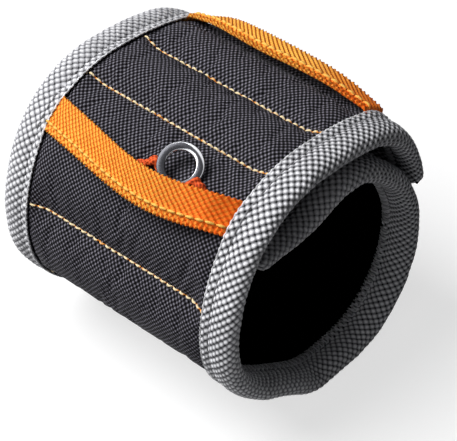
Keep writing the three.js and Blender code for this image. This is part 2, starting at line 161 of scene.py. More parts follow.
class Band:
    """The wound centre line, and how far each layer of the band lies from it."""

    def __init__(self, sizes):
        self.half = sizes.band_width / 2
        self.radius = sizes.cuff_radius
        self.gap = sizes.clearance
        self.skin = sizes.skin_thickness
        self.crown = sizes.panel_crown
        self.tape = sizes.binding_thickness
        self.lap = self.half - sizes.binding_lap
        self.cloth_half = self.half - self.tape - self.gap
        self.lining_top = -(sizes.foam_thickness / 2 + self.gap + sizes.lining_thickness / 2)
        self.lining_bottom = self.lining_top - sizes.lining_thickness
        self.pad_bottom = self.lining_top + self.gap
        self.skin_at_edge = self.pad_bottom + sizes.foam_thickness + self.gap
        self.binding_bottom = self.lining_bottom - self.gap - self.tape
        self.flap_thinning = sizes.flap_thinning
        self.origin = np.zeros(3)
        self.wind()
        seams = {name: self.distance(turn) for name, turn in SEAM_TURNS.items()}
        self.seams = seams
        edges = [0.0, *seams.values(), self.length]
        self.panels = {name: (edges[i], edges[i + 1]) for i, name in enumerate(PANEL_NAMES)}
        low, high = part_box("magnet_third_row_2")
        self.origin = np.array((low + high) / 2) - self.at(self.middle("left"), 0.0, 0.0)
        cuts = [0.0, self.middle("top"), self.middle("left"), self.middle("side"), self.length]
        self.sections = {name: (cuts[i], cuts[i + 1]) for i, name in enumerate(SECTIONS)}

    def wind(self):
        """Lay the centre line through its rows and measure it off in even steps."""
        turns = np.radians([t for t, _ in WIND_SHARES])
        reach = np.array([r for _, r in WIND_SHARES]) * self.radius
        rows = np.stack([-np.sin(turns) * reach, np.cos(turns) * reach], 1)
        (p0, p1, p2, p3), f = curve_parts(rows, LINE_STEPS + 1)
        pairs = ((p0, p1), (p1, p2), (p2, p3))
        d0, d1, d2 = (np.sqrt(np.linalg.norm(b - a, axis=1))[:, None] for a, b in pairs)
        t1 = ((p1 - p0) / d0 - (p2 - p0) / (d0 + d1) + (p2 - p1) / d1) * d1
        t2 = ((p2 - p1) / d1 - (p3 - p1) / (d1 + d2) + (p3 - p2) / d2) * d1
        points = p1 + t1 * f + (3 * (p2 - p1) - 2 * t1 - t2) * f**2 + (2 * (p1 - p2) + t1 + t2) * f**3
        gone = gone_along(points)
        self.length = gone[-1]
        self.stops = np.linspace(0, self.length, LINE_STEPS + 1)
        self.line = between(self.stops, gone, points)
        self.way = unit(np.gradient(self.line, axis=0))
        angle = np.unwrap(np.arctan2(-self.line[:, 0], self.line[:, 1]))
        self.wound = WIND_SHARES[0][0] + np.degrees(angle - angle[0])

    def distance(self, turn):
        """How far along the band a turn angle lies."""
        return float(self.stops[np.argmax(self.wound >= turn)])

    def to_seam(self, s):
        """Distance to the nearest cross seam."""
        return np.abs(s[..., None] - np.array(list(self.seams.values()))).min(-1)

    def middle(self, panel):
        """How far along the band a panel's middle lies."""
        return sum(self.panels[panel]) / 2

    def way_at(self, s):
        """Unit vectors along the band and outwards from it."""
        held = np.clip(s, 0, self.length)
        x, z = (np.interp(held, self.stops, self.way[:, k]) for k in (0, 1))
        size = np.hypot(x, z)
        x, z = x / size, z / size
        flat = np.zeros_like(x)
        return np.stack([x, flat, z], -1), np.stack([z, flat, -x], -1)

    def at(self, s, y, n):
        """Points in the row frame; past either end the line runs straight on."""
        s, y, n = np.broadcast_arrays(np.asarray(s, float), y, n)
        held = np.clip(s, 0, self.length)
        x, z = (np.interp(held, self.stops, self.line[:, k]) for k in (0, 1))
        along, out = self.way_at(s)
        centre = np.stack([x, np.asarray(y, float), z], -1)
        return self.origin + centre + along * (s - held)[..., None] + out * n[..., None]

    def thinning(self, s):
        """How much thinner the band is here than where it holds foam."""
        flap = 1 - smooth((s - FLAP_SLOPE[0]) / FLAP_SLOPE[1])
        tuck = 1 - smooth((self.length - s - TUCK_SLOPE[0]) / TUCK_SLOPE[1])
        return self.flap_thinning * np.maximum(flap, tuck)

    def panel_share(self, s):
        """Share of its panel that each place has passed, and whether that panel holds foam."""
        share, filled = np.zeros_like(s), np.ones_like(s)
        for name, (start, end) in self.panels.items():
            here = (s >= start) & (s <= end)
            share[here] = (s[here] - start) / (end - start)
            filled[here] = 0 if name in FLAT_PANELS else 1
            if name == "tip":
                share[here] = 0.5 + share[here] / 2
            if name == "inner":
                share[here] = np.minimum(share[here] * 1.6, 0.5)
        return share, filled

    def skin_top(self, s, y, filling=1.0):
        """Height of the outer fabric: level under the binding, puffed between the sewn channels."""
        s, y = np.broadcast_arrays(np.asarray(s, float), y)
        share, filled = self.panel_share(s)
        edge = self.skin_at_edge - self.thinning(s)
        bulge = 1 - np.abs(2 * share - 1) ** PANEL_SQUARENESS
        crowned = self.pad_bottom + (edge - self.pad_bottom + self.crown * filled * filling) * bulge
        inside = smooth((self.lap - np.abs(y)) / PANEL_SLOPE)
        level = edge + (crowned - edge) * inside + self.back_bulge(s, y)
        tucked = PANEL_TUCK * smooth((np.abs(y) - self.lap - 0.2 * MM) / (1.6 * MM))
        return level + self.skin - tucked

    def back_bulge(self, s, y):
        """The pads under the rear strap stand the cloth up like a barrel between the two bindings."""
        crest, reach = self.distance(BULGE_TURN), BULGE_REACH
        along = smooth(1 - np.abs(s - crest) / reach)
        across = np.maximum(np.cos(np.pi / 2 * np.clip(y / self.lap, -1, 1)), 0) ** 0.6
        return BULGE_HEIGHT * along * across

    def dented(self, s):
        """1 where the band folds softly inside the lower left and the bottom of the cuff, 0 elsewhere."""
        start, end = (self.distance(turn) for turn in DENT_TURNS)
        return smooth((s - start) / DENT_SLOPE) * smooth((end - s) / DENT_SLOPE)

    def binding_top(self, s):
        """Height of the edge webbing's outer face."""
        return self.skin_at_edge - self.thinning(s) + self.skin + self.gap + self.tape

    def steps(self, spacing, start, end):
        """Places along the band with one on every seam."""
        marks = sorted({start, end, *(s for s in self.seams.values() if start < s < end)})
        runs = [np.linspace(a, b, max(2, round((b - a) / spacing)) + 1) for a, b in zip(marks, marks[1:])]
        return np.concatenate([run[:-1] for run in runs] + [[end]])


# Meshes

def grid_normals(grid, closed):
    """Unit normals of a grid of points; the second direction may run round in a loop."""
    along = np.gradient(grid, axis=0)
    if closed:
        across = np.roll(grid, -1, axis=1) - np.roll(grid, 1, axis=1)
    else:
        across = np.gradient(grid, axis=1)
    return unit(np.cross(along, across))


def outward(points, normals):
    """The normals turned so that they point away from the middle of each row."""
    facing = np.einsum("ijk,ijk->ij", points - points.mean(1, keepdims=True), normals)
    return normals if np.median(facing) > 0 else -normals


def grid_faces(rows, columns, closed):
    """The four corners of each face of a grid of points."""
    start = np.arange(rows - 1)[:, None] * columns
    here = np.arange(columns if closed else columns - 1)[None, :]
    after = (here + 1) % columns
    corners = [start + here, start + after, start + columns + after, start + columns + here]
    return np.stack(corners, -1).reshape(-1, 4)


def make_object(name, points, faces, material, uv=None, normals=None):
    """An object from plain arrays: uv holds one pair for each corner of each face."""
    mesh = bpy.data.meshes.new(name)
    mesh.from_pydata(np.asarray(points).reshape(-1, 3).tolist(), [], faces)
    mesh.update()
    if uv is not None:
        layer = mesh.uv_layers.new(name="cloth")
        layer.data.foreach_set("uv", np.asarray(uv, np.float32).ravel())
    mesh.shade_smooth()
    if normals is not None:
        mesh.normals_split_custom_set_from_vertices(normals.reshape(-1, 3).tolist())
    mesh.materials.append(material)
    made = bpy.data.objects.new(name, mesh)
    bpy.context.scene.collection.objects.link(made)
    return made


def loop_object(name, grid, u, v, material, shade=None):
    """A closed body from loops of points: u is the distance of each loop, v that of each point round it."""
    rows, columns = grid.shape[:2]
    faces = grid_faces(rows, columns, True)
    corners = grid.reshape(-1, 3)[faces]
    volume = sum(np.einsum("ij,ij->i", corners[:, 0], np.cross(corners[:, i], corners[:, i + 1])).sum()
                 for i in (1, 2))
    v_next = np.append(v[1:], 2 * v[-1] - v[-2])
    r = np.repeat(np.arange(rows - 1), columns)
    c = np.tile(np.arange(columns), rows - 1)
    around = ((u[r], v[c]), (u[r], v_next[c]), (u[r + 1], v_next[c]), (u[r + 1], v[c]))
    uv = np.stack([np.stack(pair, 1) for pair in around], 1)
    first, last = list(range(columns)), list(range((rows - 1) * columns, rows * columns))
    if volume < 0:
        faces, uv, last = faces[:, ::-1], uv[:, ::-1], last[::-1]
    else:
        first = first[::-1]
    caps = [np.stack([np.full(columns, end), v], 1) for end in (u[0], u[-1])]
    uv = np.concatenate([uv.reshape(-1, 2), *caps])
    return make_object(name, grid, faces.tolist() + [first, last], material, uv, shade)


def round_the_loop(out, thickness, back=None):
    """Distances round a loop: out along one face, over the edge, and back along the other face."""
    back = out if back is None else back
    return np.concatenate([out, out[-1] + thickness + (out[-1] - back[::-1])]) - out[0]


# Spacing of the points along and round a thread, and by how much each stitch's places are shifted
THREAD_CELL, STITCH_SHIFT = 0.25 * MM, 2 * MM


def tubes(name, centres, ups, radii, sides, material):
    """Many short rounded threads in one mesh: centres is (threads, points, 3)."""
    threads, count = centres.shape[:2]
    along = unit(np.gradient(centres, axis=1))
    side = unit(np.cross(along, ups))
    up = np.cross(side, along)
    angle = np.linspace(0, 2 * np.pi, sides, endpoint=False)
    circle = side[:, :, None] * np.cos(angle)[:, None] + up[:, :, None] * np.sin(angle)[:, None]
    points = centres[:, :, None] + circle * radii[None, :, None, None]
    faces = grid_faces(count, sides, True)[:, ::-1]
    caps = [list(range(sides)), list(range((count - 1) * sides, count * sides))[::-1]]
    step, turn = np.arange(count)[:, None] * THREAD_CELL, np.arange(sides)[None, :] * THREAD_CELL
    flat = np.stack(np.broadcast_arrays(step, turn), -1).reshape(-1, 2)
    one_uv = np.concatenate([flat[faces.ravel()], flat[caps[0]], flat[caps[1]]])
    all_faces, uvs = [], []
    for t in range(threads):
        base = t * count * sides
        all_faces += (faces + base).tolist() + [[base + i for i in cap] for cap in caps]
        uvs.append(one_uv + [t * STITCH_SHIFT, 0])
    return make_object(name, points, all_faces, material, np.concatenate(uvs))


def stitch_radii(share, thickest, ends=0.45, swell=0.6):
    """Radii along a stitch, thin where its ends dive into the cloth."""
    return thickest * (ends + swell * np.sin(np.pi * (0.08 + 0.84 * share)))


def woven(u, v, pitch):
    """Crowns and gaps of a plain weave: 1 on a crown, 0 in a gap."""
    return 0.5 + 0.5 * np.cos(np.pi * u / pitch) * np.cos(np.pi * v / pitch)


def on_floor(points, clear=0.02 * MM):
    """What would sink into the floor lies flat on it; a thread's middle stays clear of it by its radius."""
    points[..., 2] = np.maximum(points[..., 2], clear)
    return points


def follow(made, section, band):
    """A piece of the base rides on the base; a piece of any other section keeps its place, baked into its
    mesh, and the ends of that section's seam are worked out but not used.
    """
    if section == "base":
        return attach(made, "base")
    joins = {
        "flap": ("closure_flap", "upper", "closure", 0, -1),
        "upper": ("upper", "base", "band", 2, -1),
        "inner": ("base", "inner_flap", "inner", 2, 1),
    }
    first, second, seam, axis, sign = joins[section]
    middle = band.at(band.seams[seam], 0.0, 0.0)
    start, end = middle.copy(), middle.copy()
    start[axis] -= sign * HINGE_REACH
    end[axis] += sign * HINGE_REACH
    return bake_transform(made)


# Materials

def put(tree, kind, settings=None, **inputs):
    """A node with its settings and inputs; an input that is a socket is linked."""
    node = tree.nodes.new(kind)
    for key, value in (settings or {}).items():
        setattr(node, key, value)
    for key, value in inputs.items():
        socket = node.inputs[int(key[1:])] if key[1:].isdigit() else node.inputs[key.replace("_", " ")]
        if isinstance(value, bpy.types.NodeSocket):
            tree.links.new(value, socket)
        else:
            socket.default_value = value
    return node


def sum_of(tree, operation, *values):
    """One step of arithmetic between sockets or numbers."""
    inputs = {f"_{i}": value for i, value in enumerate(values)}
    return put(tree, "ShaderNodeMath", {"operation": operation}, **inputs).outputs[0]


def spread(tree, value, start, end, low, high, kind="LINEAR"):
    """A value that runs from start to end, laid over low to high."""
    node = put(tree, "ShaderNodeMapRange", {"interpolation_type": kind},
               _0=value, _1=start, _2=end, _3=low, _4=high)
    return node.outputs[0]


def plain_material(name, colour, roughness, metallic=0.0, sheen=0.0, gloss=0.5):
    """A material with one colour and finish, its node tree and its shader."""
    material = bpy.data.materials.new(name)
    material.use_nodes = True
    shader = material.node_tree.nodes["Principled BSDF"]
    shader.inputs["Base Color"].default_value = (*colour, 1)
    shader.inputs["Roughness"].default_value = roughness
    shader.inputs["Metallic"].default_value = metallic
    shader.inputs["Sheen Weight"].default_value = sheen
    shader.inputs["Sheen Roughness"].default_value = 0.4
    shader.inputs["Specular IOR Level"].default_value = gloss
    return material, material.node_tree, shader


def cloth_place(tree):
    """Distance along and across the cloth, in metres."""
    place = put(tree, "ShaderNodeUVMap", {"uv_map": "cloth"}).outputs[0]
    parts = put(tree, "ShaderNodeSeparateXYZ", Vector=place)
    return place, parts.outputs[0], parts.outputs[1]


def object_place(tree):
    """Place on the piece itself, in metres."""
    return put(tree, "ShaderNodeTexCoord").outputs["Object"]


def stretched(tree, place, factors):
    """The place with each of its three shares scaled."""
    return put(tree, "ShaderNodeVectorMath", {"operation": "MULTIPLY"}, _0=place, _1=factors).outputs[0]


def noise(tree, place, scale, detail=2.0, roughness=0.5, output=0):
    """Random clouds: output 0 is one value, output 1 is three."""
    node = put(tree, "ShaderNodeTexNoise", Vector=place, Scale=scale, Detail=detail, Roughness=roughness)
    return node.outputs[output]


def scaled(colour, *factors):
    """A colour times one factor, or times one each for red, green and blue, and at most 1."""
    factors = factors * 3 if len(factors) == 1 else factors
    return tuple(min(1.0, c * factor) for c, factor in zip(colour, factors))


def ramp(tree, value, tones, stops):
    """Tones laid over a value, each at its stop, with soft passages between them."""
    node = put(tree, "ShaderNodeValToRGB", Fac=value)
    node.color_ramp.interpolation = "EASE"
    points = node.color_ramp.elements
    for stop in stops[1:-1]:
        points.new(stop)
    for point, stop, tone in zip(points, stops, tones):
        point.position, point.color = stop, (*tone, 1)
    return node.outputs[0]


def mixed_colour(tree, factor, first, second, blend="MIX"):
    """Two colours mixed by a factor."""
    kind = {"data_type": "RGBA", "blend_type": blend}
    return put(tree, "ShaderNodeMix", kind, _0=factor, _6=first, _7=second).outputs[2]


def shaded(tree, colour, value, dark, start, end):
    """The colour, darkened where the value is low."""
    tone = ramp(tree, value, ((dark,) * 3, (1, 1, 1)), (start, end))
    return mixed_colour(tree, 1.0, colour, tone, "MULTIPLY")


def dress(tree, shader, colour, height, strength, distance):
    """Give the shader its colour, and a bump from a height."""
    bump = put(tree, "ShaderNodeBump", Strength=strength, Distance=distance, Height=height)
    tree.links.new(colour, shader.inputs["Base Color"])
    tree.links.new(bump.outputs[0], shader.inputs["Normal"])


# Grains of the cloth, per metre: the strands in a thread, the dye's patches and the weave's drift
STRAND_GRAIN, DYE_GRAIN, DRIFT_GRAIN = 9000, 110, 260
STRAND_STRETCH = (0.22, 1.0, 1.0)
WEAVE_DRIFT = 0.55 * MM
THREAD_TWIST = 0.42 * MM


def woven_material(name, tones, pitch, stops, depth, roughness, gloss, gaps=None, near=None):
    """Coarse weave: crowns on a stepped lattice with a painted highlight on them, painted shade in the gaps,
    strands, uneven dye and a little wear.

    Webbing has full crowns with thin gaps between them along both slants of the lattice. The first two
    values of gaps say how sharp each slant is, the third how far the lines between crowns are filled.
    Other cloth has small crowns. near holds tones for the piece's start, used to paint shade there, and how
    far from its start they reach."""
    material, tree, shader = plain_material(name, tones[1], roughness, gloss=gloss)
    place, u, v = cloth_place(tree)
    drift = put(tree, "ShaderNodeSeparateXYZ", Vector=noise(tree, place, DRIFT_GRAIN, 1.0, output=1))
    turns = [
        sum_of(tree, "MULTIPLY", sum_of(tree, "MULTIPLY_ADD", part, WEAVE_DRIFT, way), math.pi / each)
        for part, way, each in zip(drift.outputs, (u, v), pitch)]
    if gaps:
        slants = [sum_of(tree, way, *turns) for way in ("ADD", "SUBTRACT")]
        halves = [sum_of(tree, "MULTIPLY", slant, 0.5) for slant in slants]
        waves = [sum_of(tree, "ABSOLUTE", sum_of(tree, "COSINE", half)) for half in halves]
        slopes = [sum_of(tree, "POWER", wave, gap) for wave, gap in zip(waves, gaps)]
        full = sum_of(tree, "MULTIPLY", *slopes)
        pits = sum_of(tree, "MULTIPLY", sum_of(tree, "ADD", *waves), 0.5)
        height = sum_of(tree, "MULTIPLY_ADD", sum_of(tree, "SUBTRACT", pits, full), gaps[2], full)
    else:
        crowns = sum_of(tree, "MULTIPLY", *(sum_of(tree, "COSINE", turn) for turn in turns))
        height = sum_of(tree, "MULTIPLY_ADD", crowns, 0.5, 0.5)
    # Painted light: the tones run from painted shade in the gaps to a painted highlight on the crowns
    threads = ramp(tree, height, tones, stops)
    if near:
        near_tones, reach = near
        share = spread(tree, u, 0, reach, 1, 0, "SMOOTHSTEP")
        threads = mixed_colour(tree, share, threads, ramp(tree, height, near_tones, stops))
    strands = noise(tree, stretched(tree, place, STRAND_STRETCH), STRAND_GRAIN, 2, 0.6)
    threads = shaded(tree, threads, strands, 0.78, 0.3, 0.62)
    threads = shaded(tree, threads, noise(tree, place, DYE_GRAIN, 3, 0.6), 0.88, 0.3, 0.65)
    rough = spread(tree, strands, 0, 1, roughness - 0.08, min(1, roughness + 0.12))
    tree.links.new(rough, shader.inputs["Roughness"])
    lift = sum_of(tree, "MULTIPLY_ADD", strands, 0.25, sum_of(tree, "POWER", height, 0.7))
    dress(tree, shader, threads, lift, 1.0, depth)
    return material


def thread_material(name, colour, second):
    """Twisted sewing thread that changes tone at random along its length, with painted shade where a stitch
    dives into the cloth and in the grooves of its twist.
    """
    material, tree, shader = plain_material(name, colour, 0.55, gloss=0.15)
    place, u, v = cloth_place(tree)
    twist = sum_of(tree, "MULTIPLY", sum_of(tree, "ADD", u, v), 2 * math.pi / THREAD_TWIST)
    twist = sum_of(tree, "SINE", twist)
    # Painted shade: each stitch turns to the darker second colour towards its ends, where it dives into the
    # cloth
    dive = sum_of(tree, "WRAP", u, STITCH_SHIFT, 0.0)
    dive = sum_of(tree, "MULTIPLY", dive, math.pi / ((STITCH_POINTS - 1) * THREAD_CELL))
    dive = sum_of(tree, "SUBTRACT", sum_of(tree, "SINE", dive), 0.5)
    tone = sum_of(tree, "MULTIPLY_ADD", dive, 0.3, noise(tree, place, 300, 1, 0.5))
    body = ramp(tree, tone, (second, colour), (0.38, 0.58))
    # Painted shade in the grooves of the twist
    dress(tree, shader, shaded(tree, body, twist, 0.84, 0.1, 0.6), twist, 0.5, 0.06 * MM)
    return material


def metal_material(name, colour, roughness, brush):
    """Plated steel: fine drawn lines, faint clouding and small scratches."""
    material, tree, shader = plain_material(name, colour, roughness, 1.0)
    place = object_place(tree)
    lines = noise(tree, stretched(tree, place, brush), 2600, 3, 0.6)
    tint = ramp(tree, noise(tree, place, 300, 3, 0.6), (scaled(colour, 0.82), colour), (0.3, 0.65))
    tree.links.new(spread(tree, lines, 0, 1, roughness * 0.7, roughness * 1.6), shader.inputs["Roughness"])
    dress(tree, shader, tint, lines, 0.25, 0.02 * MM)
    return material


def ring_material(name, colour):
    """Plated wire, darkened as a painted reflection of dark surroundings, with a painted highlight on its
    edges, widest on one side of the ring.
    """
    material = metal_material(name, colour, 0.2, (1.0, 1.0, 0.12))
    tree = material.node_tree
    base = tree.nodes["Principled BSDF"].inputs["Base Color"]
    _, u, v = cloth_place(tree)
    # Painted highlight: the wire's edges are mixed towards pale steel, widest on one side of the ring
    face = sum_of(tree, "SUBTRACT", v, 3.5 * WIRE_CELL)
    face = sum_of(tree, "WRAP", face, 2 * WIRE_CELL, -2 * WIRE_CELL)
    turn = sum_of(tree, "SUBTRACT", sum_of(tree, "DIVIDE", u, RING_MIDDLE), HIGHLIGHT_SIDE)
    start = sum_of(tree, "MULTIPLY_ADD", sum_of(tree, "COSINE", turn), -0.44 * MM, 0.48 * MM)
    end = sum_of(tree, "ADD", start, 0.1 * MM)
    painted_highlight = spread(tree, sum_of(tree, "ABSOLUTE", face), start, end, 0, 1, "SMOOTHSTEP")
    dark = base.links[0].from_socket
    tree.links.new(mixed_colour(tree, painted_highlight, dark, (0.75, 0.75, 0.77, 1)), base)
    return material


def foam_material(name, colour):
    """Open foam: pores of several sizes, darkened as painted shade."""
    material, tree, shader = plain_material(name, colour, 0.95, 0, 0.1)
    pores = put(tree, "ShaderNodeTexVoronoi", Vector=object_place(tree), Scale=1400).outputs[0]
    # The pores are darkened to 0.35 of the foam's colour: painted shade in them
    dress(tree, shader, ramp(tree, pores, (scaled(colour, 0.35), colour), (0.1, 0.5)), pores, 0.9, 0.2 * MM)
    return material


def pile_material(name, colour, depth):
    """Looped or brushed pile: a tangle of fine strands, darker in its hollows as painted shade and brighter
    on its tops as a painted highlight.
    """
    material, tree, shader = plain_material(name, colour, 0.9, 0, 0.5)
    place = cloth_place(tree)[0]
    curls = put(tree, "ShaderNodeTexVoronoi", Vector=place, Scale=1500).outputs[0]
    height = sum_of(tree, "MULTIPLY_ADD", curls, -0.6, noise(tree, place, 1800, 6, 0.75))
    # Painted light: the tint is dark where the pile is low and bright where it is high
    tint = ramp(tree, height, (scaled(colour, 0.3), scaled(colour, 1.5)), (0.1, 0.6))
    dress(tree, shader, tint, height, 1.0, depth)
    return material


# What a user may change

def length(name, description, default):
    """A length that a user may set."""
    return bpy.props.FloatProperty(name=name, description=description, default=default, min=0, unit="LENGTH")


def colour(name, description, default):
    """A colour that a user may set."""
    return bpy.props.FloatVectorProperty(
        name=name, description=description, default=default, size=3, min=0, max=1, subtype="COLOR")


class WristbandSizes(bpy.types.PropertyGroup):
    """Sizes of the band's layers and fittings"""

    band_width: length("Band width", "Width of the band between its bound edges", 90 * MM)
    cuff_radius: length("Cuff radius", "Radius that the wound centre line keeps close to", 44 * MM)
    clearance: length("Clearance", "Space between neighbouring layers", 0.3 * MM)
    lining_thickness: length("Lining thickness", "Thickness of the cloth on the wrist side", 0.8 * MM)
    skin_thickness: length("Shell thickness", "Thickness of the outer cloth", 0.9 * MM)
    foam_thickness: length("Foam at the edge", "Thickness of the foam beside the binding", 1.7 * MM)
    panel_crown: length("Panel crown", "How far a filled panel stands up between its seams", 1.5 * MM)
    binding_thickness: length("Binding thickness", "Thickness of the grey edge webbing", 0.8 * MM)
    binding_lap: length("Binding lap", "How far the edge webbing reaches onto the band", 10.5 * MM)
    flap_thinning: length("Flap thinning", "How much thinner the two ends are, which hold no foam", 1.9 * MM)
    binding_pitch: length("Binding weave", "Spacing of the edge webbing's rows of crowns", 1.24 * MM)
    shell_pitch: length("Shell weave", "Spacing of the outer cloth's rows of crowns", 0.77 * MM)
    strap_width: length("Strap width", "Width of the orange tool straps", 11 * MM)
    strap_thickness: length("Strap thickness", "Thickness of the orange tool straps", 1.2 * MM)
    strap_pitch: length("Strap weave", "Spacing of the straps' rows of crowns", 0.9 * MM)
    stitch_length: length("Stitch length", "Length of one stitch in the cross seams", 2.1 * MM)
    ring_diameter: length("Ring diameter", "Outer diameter of the split ring", 13.4 * MM)
    ring_hole: length("Ring hole", "Diameter of the split ring's hole", 8.9 * MM)


class WristbandColours(bpy.types.PropertyGroup):
    """Colours of the band's cloth, webbing, thread and metal"""

    shell: colour("Shell", "Outer cloth of the panels", (0.022, 0.021, 0.025))
    # Far darker than any cloth: painted shade for the inside of the cuff
    lining: colour("Lining", "Cloth on the wrist side", (0.0008, 0.0008, 0.001))
    binding: colour("Binding", "Grey edge webbing", (0.45, 0.45, 0.48))
    strap: colour("Strap", "Orange tool straps", (0.96, 0.29, 0.028))
    # Darker, redder tones at the straps' near ends: painted shade there
    strap_near_shade: colour("Strap, near end", "Redder dye at the straps' near ends", (1.0, 0.17, 0.012))
    strap_thread: colour("Strap thread", "Thread of the row of stitches along a strap", (1.0, 0.58, 0.12))
    keeper: colour("Keeper", "Red-orange loop that holds the split ring", (0.85, 0.1, 0.018))
    # Pale at the middle of each stitch: a painted highlight on the orange thread, over random changes of
    # tone; the orange darkens where it dives as painted shade
    thread: colour("Thread", "Pale strands of the cross-seam thread", (1.0, 0.82, 0.5))
    thread_dark: colour("Thread, dark strands", "Orange strands of the cross-seam thread", (0.95, 0.36, 0.05))
    # Near white: a painted highlight along the webbing's cut edges
    selvage: colour("Selvage thread", "Cord and stitches at the webbing's cut edges", (0.85, 0.85, 0.88))
    binding_thread: colour("Binding thread", "Thread that holds the edge webbing down", (0.22, 0.22, 0.23))
    # Far darker than plated steel: painted reflection of dark surroundings
    steel: colour("Ring steel", "Plated split ring", (0.045, 0.045, 0.05))
    magnet: colour("Magnet plating", "Nickel on the disc magnets", (0.62, 0.62, 0.60))
    foam: colour("Foam", "Pads inside the panels", (0.10, 0.10, 0.11))
    hook: colour("Hook and loop", "Hook tape and loop tape of the closure", (0.014, 0.014, 0.016))
    floor: colour("Floor", "Plain floor under the wristband", (0.93, 0.93, 0.935))


def settings(context):
    """The sizes and the colours that a user has set."""
    return context.scene.wristband_sizes, context.scene.wristband_colours


MADE = {}


def the_band(context):
    """The band's centre line, made once."""
    if "band" not in MADE:
        MADE["band"] = Band(context.scene.wristband_sizes)
    return MADE["band"]


def the_material(make, name, *how, **more):
    """A material of that name, made once."""
    if name not in MADE:
        MADE[name] = make(name, *how, **more)
    return MADE[name]


# The outer cloth

# The cloth simulation: how many times larger it is run, its frames, the size of a cell, half its width,
# and the most that it may move the cloth
SWELL_SCALE, SWELL_FRAMES = 10.0, 22
SWELL_CELL, SWELL_REACH, SWELL_CAP = 1.25 * MM, 37 * MM, 1.1 * MM
# How full the panels are before the simulation fills them
SWELL_START = 0.55
# Places beside the simulated grid, in from the cloth's cut edge (mm)
CUT_EDGE_STEPS = (0.0, 2.4, 4.6)


def swelling(band, s, y, start):
    """How far each point of the outer cloth moves as the pads fill it, from a cloth simulation."""
    rows, columns = start.shape[:2]
    centre = start.reshape(-1, 3).mean(0)
    faces = grid_faces(rows, columns, False)
    body = make_object("swelling", (start - centre) * SWELL_SCALE, faces.tolist(), None)
    flat = (s < band.seams["first"]) | (s > band.seams["inner"])
    sewn = (band.to_seam(s) < 0.05 * MM) | flat
    pinned = sewn[:, None] | (np.abs(y) > band.lap - 0.2 * MM)[None, :]
    group = body.vertex_groups.new(name="sewn down")
    group.add(np.flatnonzero(pinned.ravel()).tolist(), 1.0, "REPLACE")
    cloth = body.modifiers.new("Cloth", "CLOTH")
    rules = cloth.settings
    rules.quality = 6
    rules.mass = 0.25
    rules.tension_stiffness = rules.compression_stiffness = 18
    rules.shear_stiffness = 6
    rules.bending_stiffness = 0.8
    rules.use_pressure = True
    rules.uniform_pressure_force = 3.2
    rules.shrink_min = -0.022
    rules.vertex_group_mass = "sewn down"
    rules.effector_weights.gravity = 0
    cloth.point_cache.frame_start, cloth.point_cache.frame_end = 1, SWELL_FRAMES
    scene = bpy.context.scene
    for step in range(1, SWELL_FRAMES + 1):
        scene.frame_set(step)
    done = body.evaluated_get(bpy.context.evaluated_depsgraph_get())
    moved = np.zeros(rows * columns * 3, np.float32)
    done.data.vertices.foreach_get("co", moved)
    bpy.data.objects.remove(body)
    scene.frame_set(1)
    shift = moved.reshape(rows, columns, 3) / SWELL_SCALE + centre - start
    size = np.maximum(np.linalg.norm(shift, axis=2), 1e-9)
    shift *= (SWELL_CAP * np.tanh(size / SWELL_CAP) / size)[..., None]
    shift[pinned] = 0
    return shift


def halved(grid, axis):
    """The grid with a point added between each two along one axis."""
    grid = np.moveaxis(grid, axis, 0)
    before = np.concatenate([grid[:1], grid[:-2]])
    after = np.concatenate([grid[2:], grid[-1:]])
    midway = (9 * (grid[:-1] + grid[1:]) - before - after) / 16
    out = np.empty((len(grid) * 2 - 1, *grid.shape[1:]))
    out[::2], out[1::2] = grid, midway
    return np.moveaxis(out, 0, axis)


def shell_grid(context):
    """The outer face of the shell from end to end: places along it, across it, and the points."""
    if "shell" in MADE:
        return MADE["shell"]
    band = the_band(context)
    s = band.steps(SWELL_CELL, 0.0, band.length)
    y = np.linspace(-SWELL_REACH, SWELL_REACH, round(2 * SWELL_REACH / SWELL_CELL / 2) * 2 + 1)
    shift, filling = np.zeros((len(s), len(y), 3)), 1.0
    filling = SWELL_START
    base = band.at(s[:, None], y[None, :], band.skin_top(s[:, None], y[None, :], filling))
    shift = swelling(band, s, y, base)
    s, y, shift = halved(s, 0), halved(y, 0), halved(halved(shift, 0), 1)
    sides = band.cloth_half - np.array(CUT_EDGE_STEPS) * MM
    y = np.concatenate([-sides, y, sides[::-1]])
    shift = np.pad(shift, ((0, 0), (len(sides), len(sides)), (0, 0)))
    grid_s, grid_y = s[:, None], y[None, :]
    near = band.to_seam(grid_s)
    inside = smooth((band.lap - np.abs(grid_y)) / (4 * MM))
    pull = hump(near, 1.1 * MM) * (0.5 + 0.5 * np.cos(2 * np.pi * grid_y / (2.6 * MM)))
    fine = ripple(grid_y, 11, 9 * MM) * (hump(near, 4.5 * MM) - hump(near, 1.2 * MM))
    drag = ripple(grid_s, 23, 13 * MM) * smooth((np.abs(grid_y) - band.lap + 9 * MM) / (8 * MM))
    soft = ripple(grid_s + 0.35 * grid_y, 5, 31 * MM) * ripple(grid_y - 0.2 * grid_s, 7, 27 * MM)
    height = band.skin_top(grid_s, grid_y, filling)
    height = height + inside * MM * (-0.28 * pull + 0.42 * fine + 0.22 * drag + 0.35 * soft)
    MADE["shell"] = (s, y, band.at(grid_s, grid_y, height) + shift)
    return MADE["shell"]


def sheet_sections(name, band, s, y, outer, inner, material, node):
    """Sections of a sheet of cloth between an outer and an inner face, each standing for its CAD node."""
    loops = on_floor(np.concatenate([outer, inner[:, ::-1]], 1))
    shade = outward(loops, grid_normals(loops, True))
    v = round_the_loop(y, 1 * MM)
    made = []
    for section, ends in band.sections.items():
        first, last = (nearest(s, end) for end in ends)
        part = slice(first, last + 1)
        piece = loop_object(f"{name}_{section}", loops[part], s[part], v, material, shade[part])
        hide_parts(f"{node}_{section}")
        made.append((section, piece))
    return made


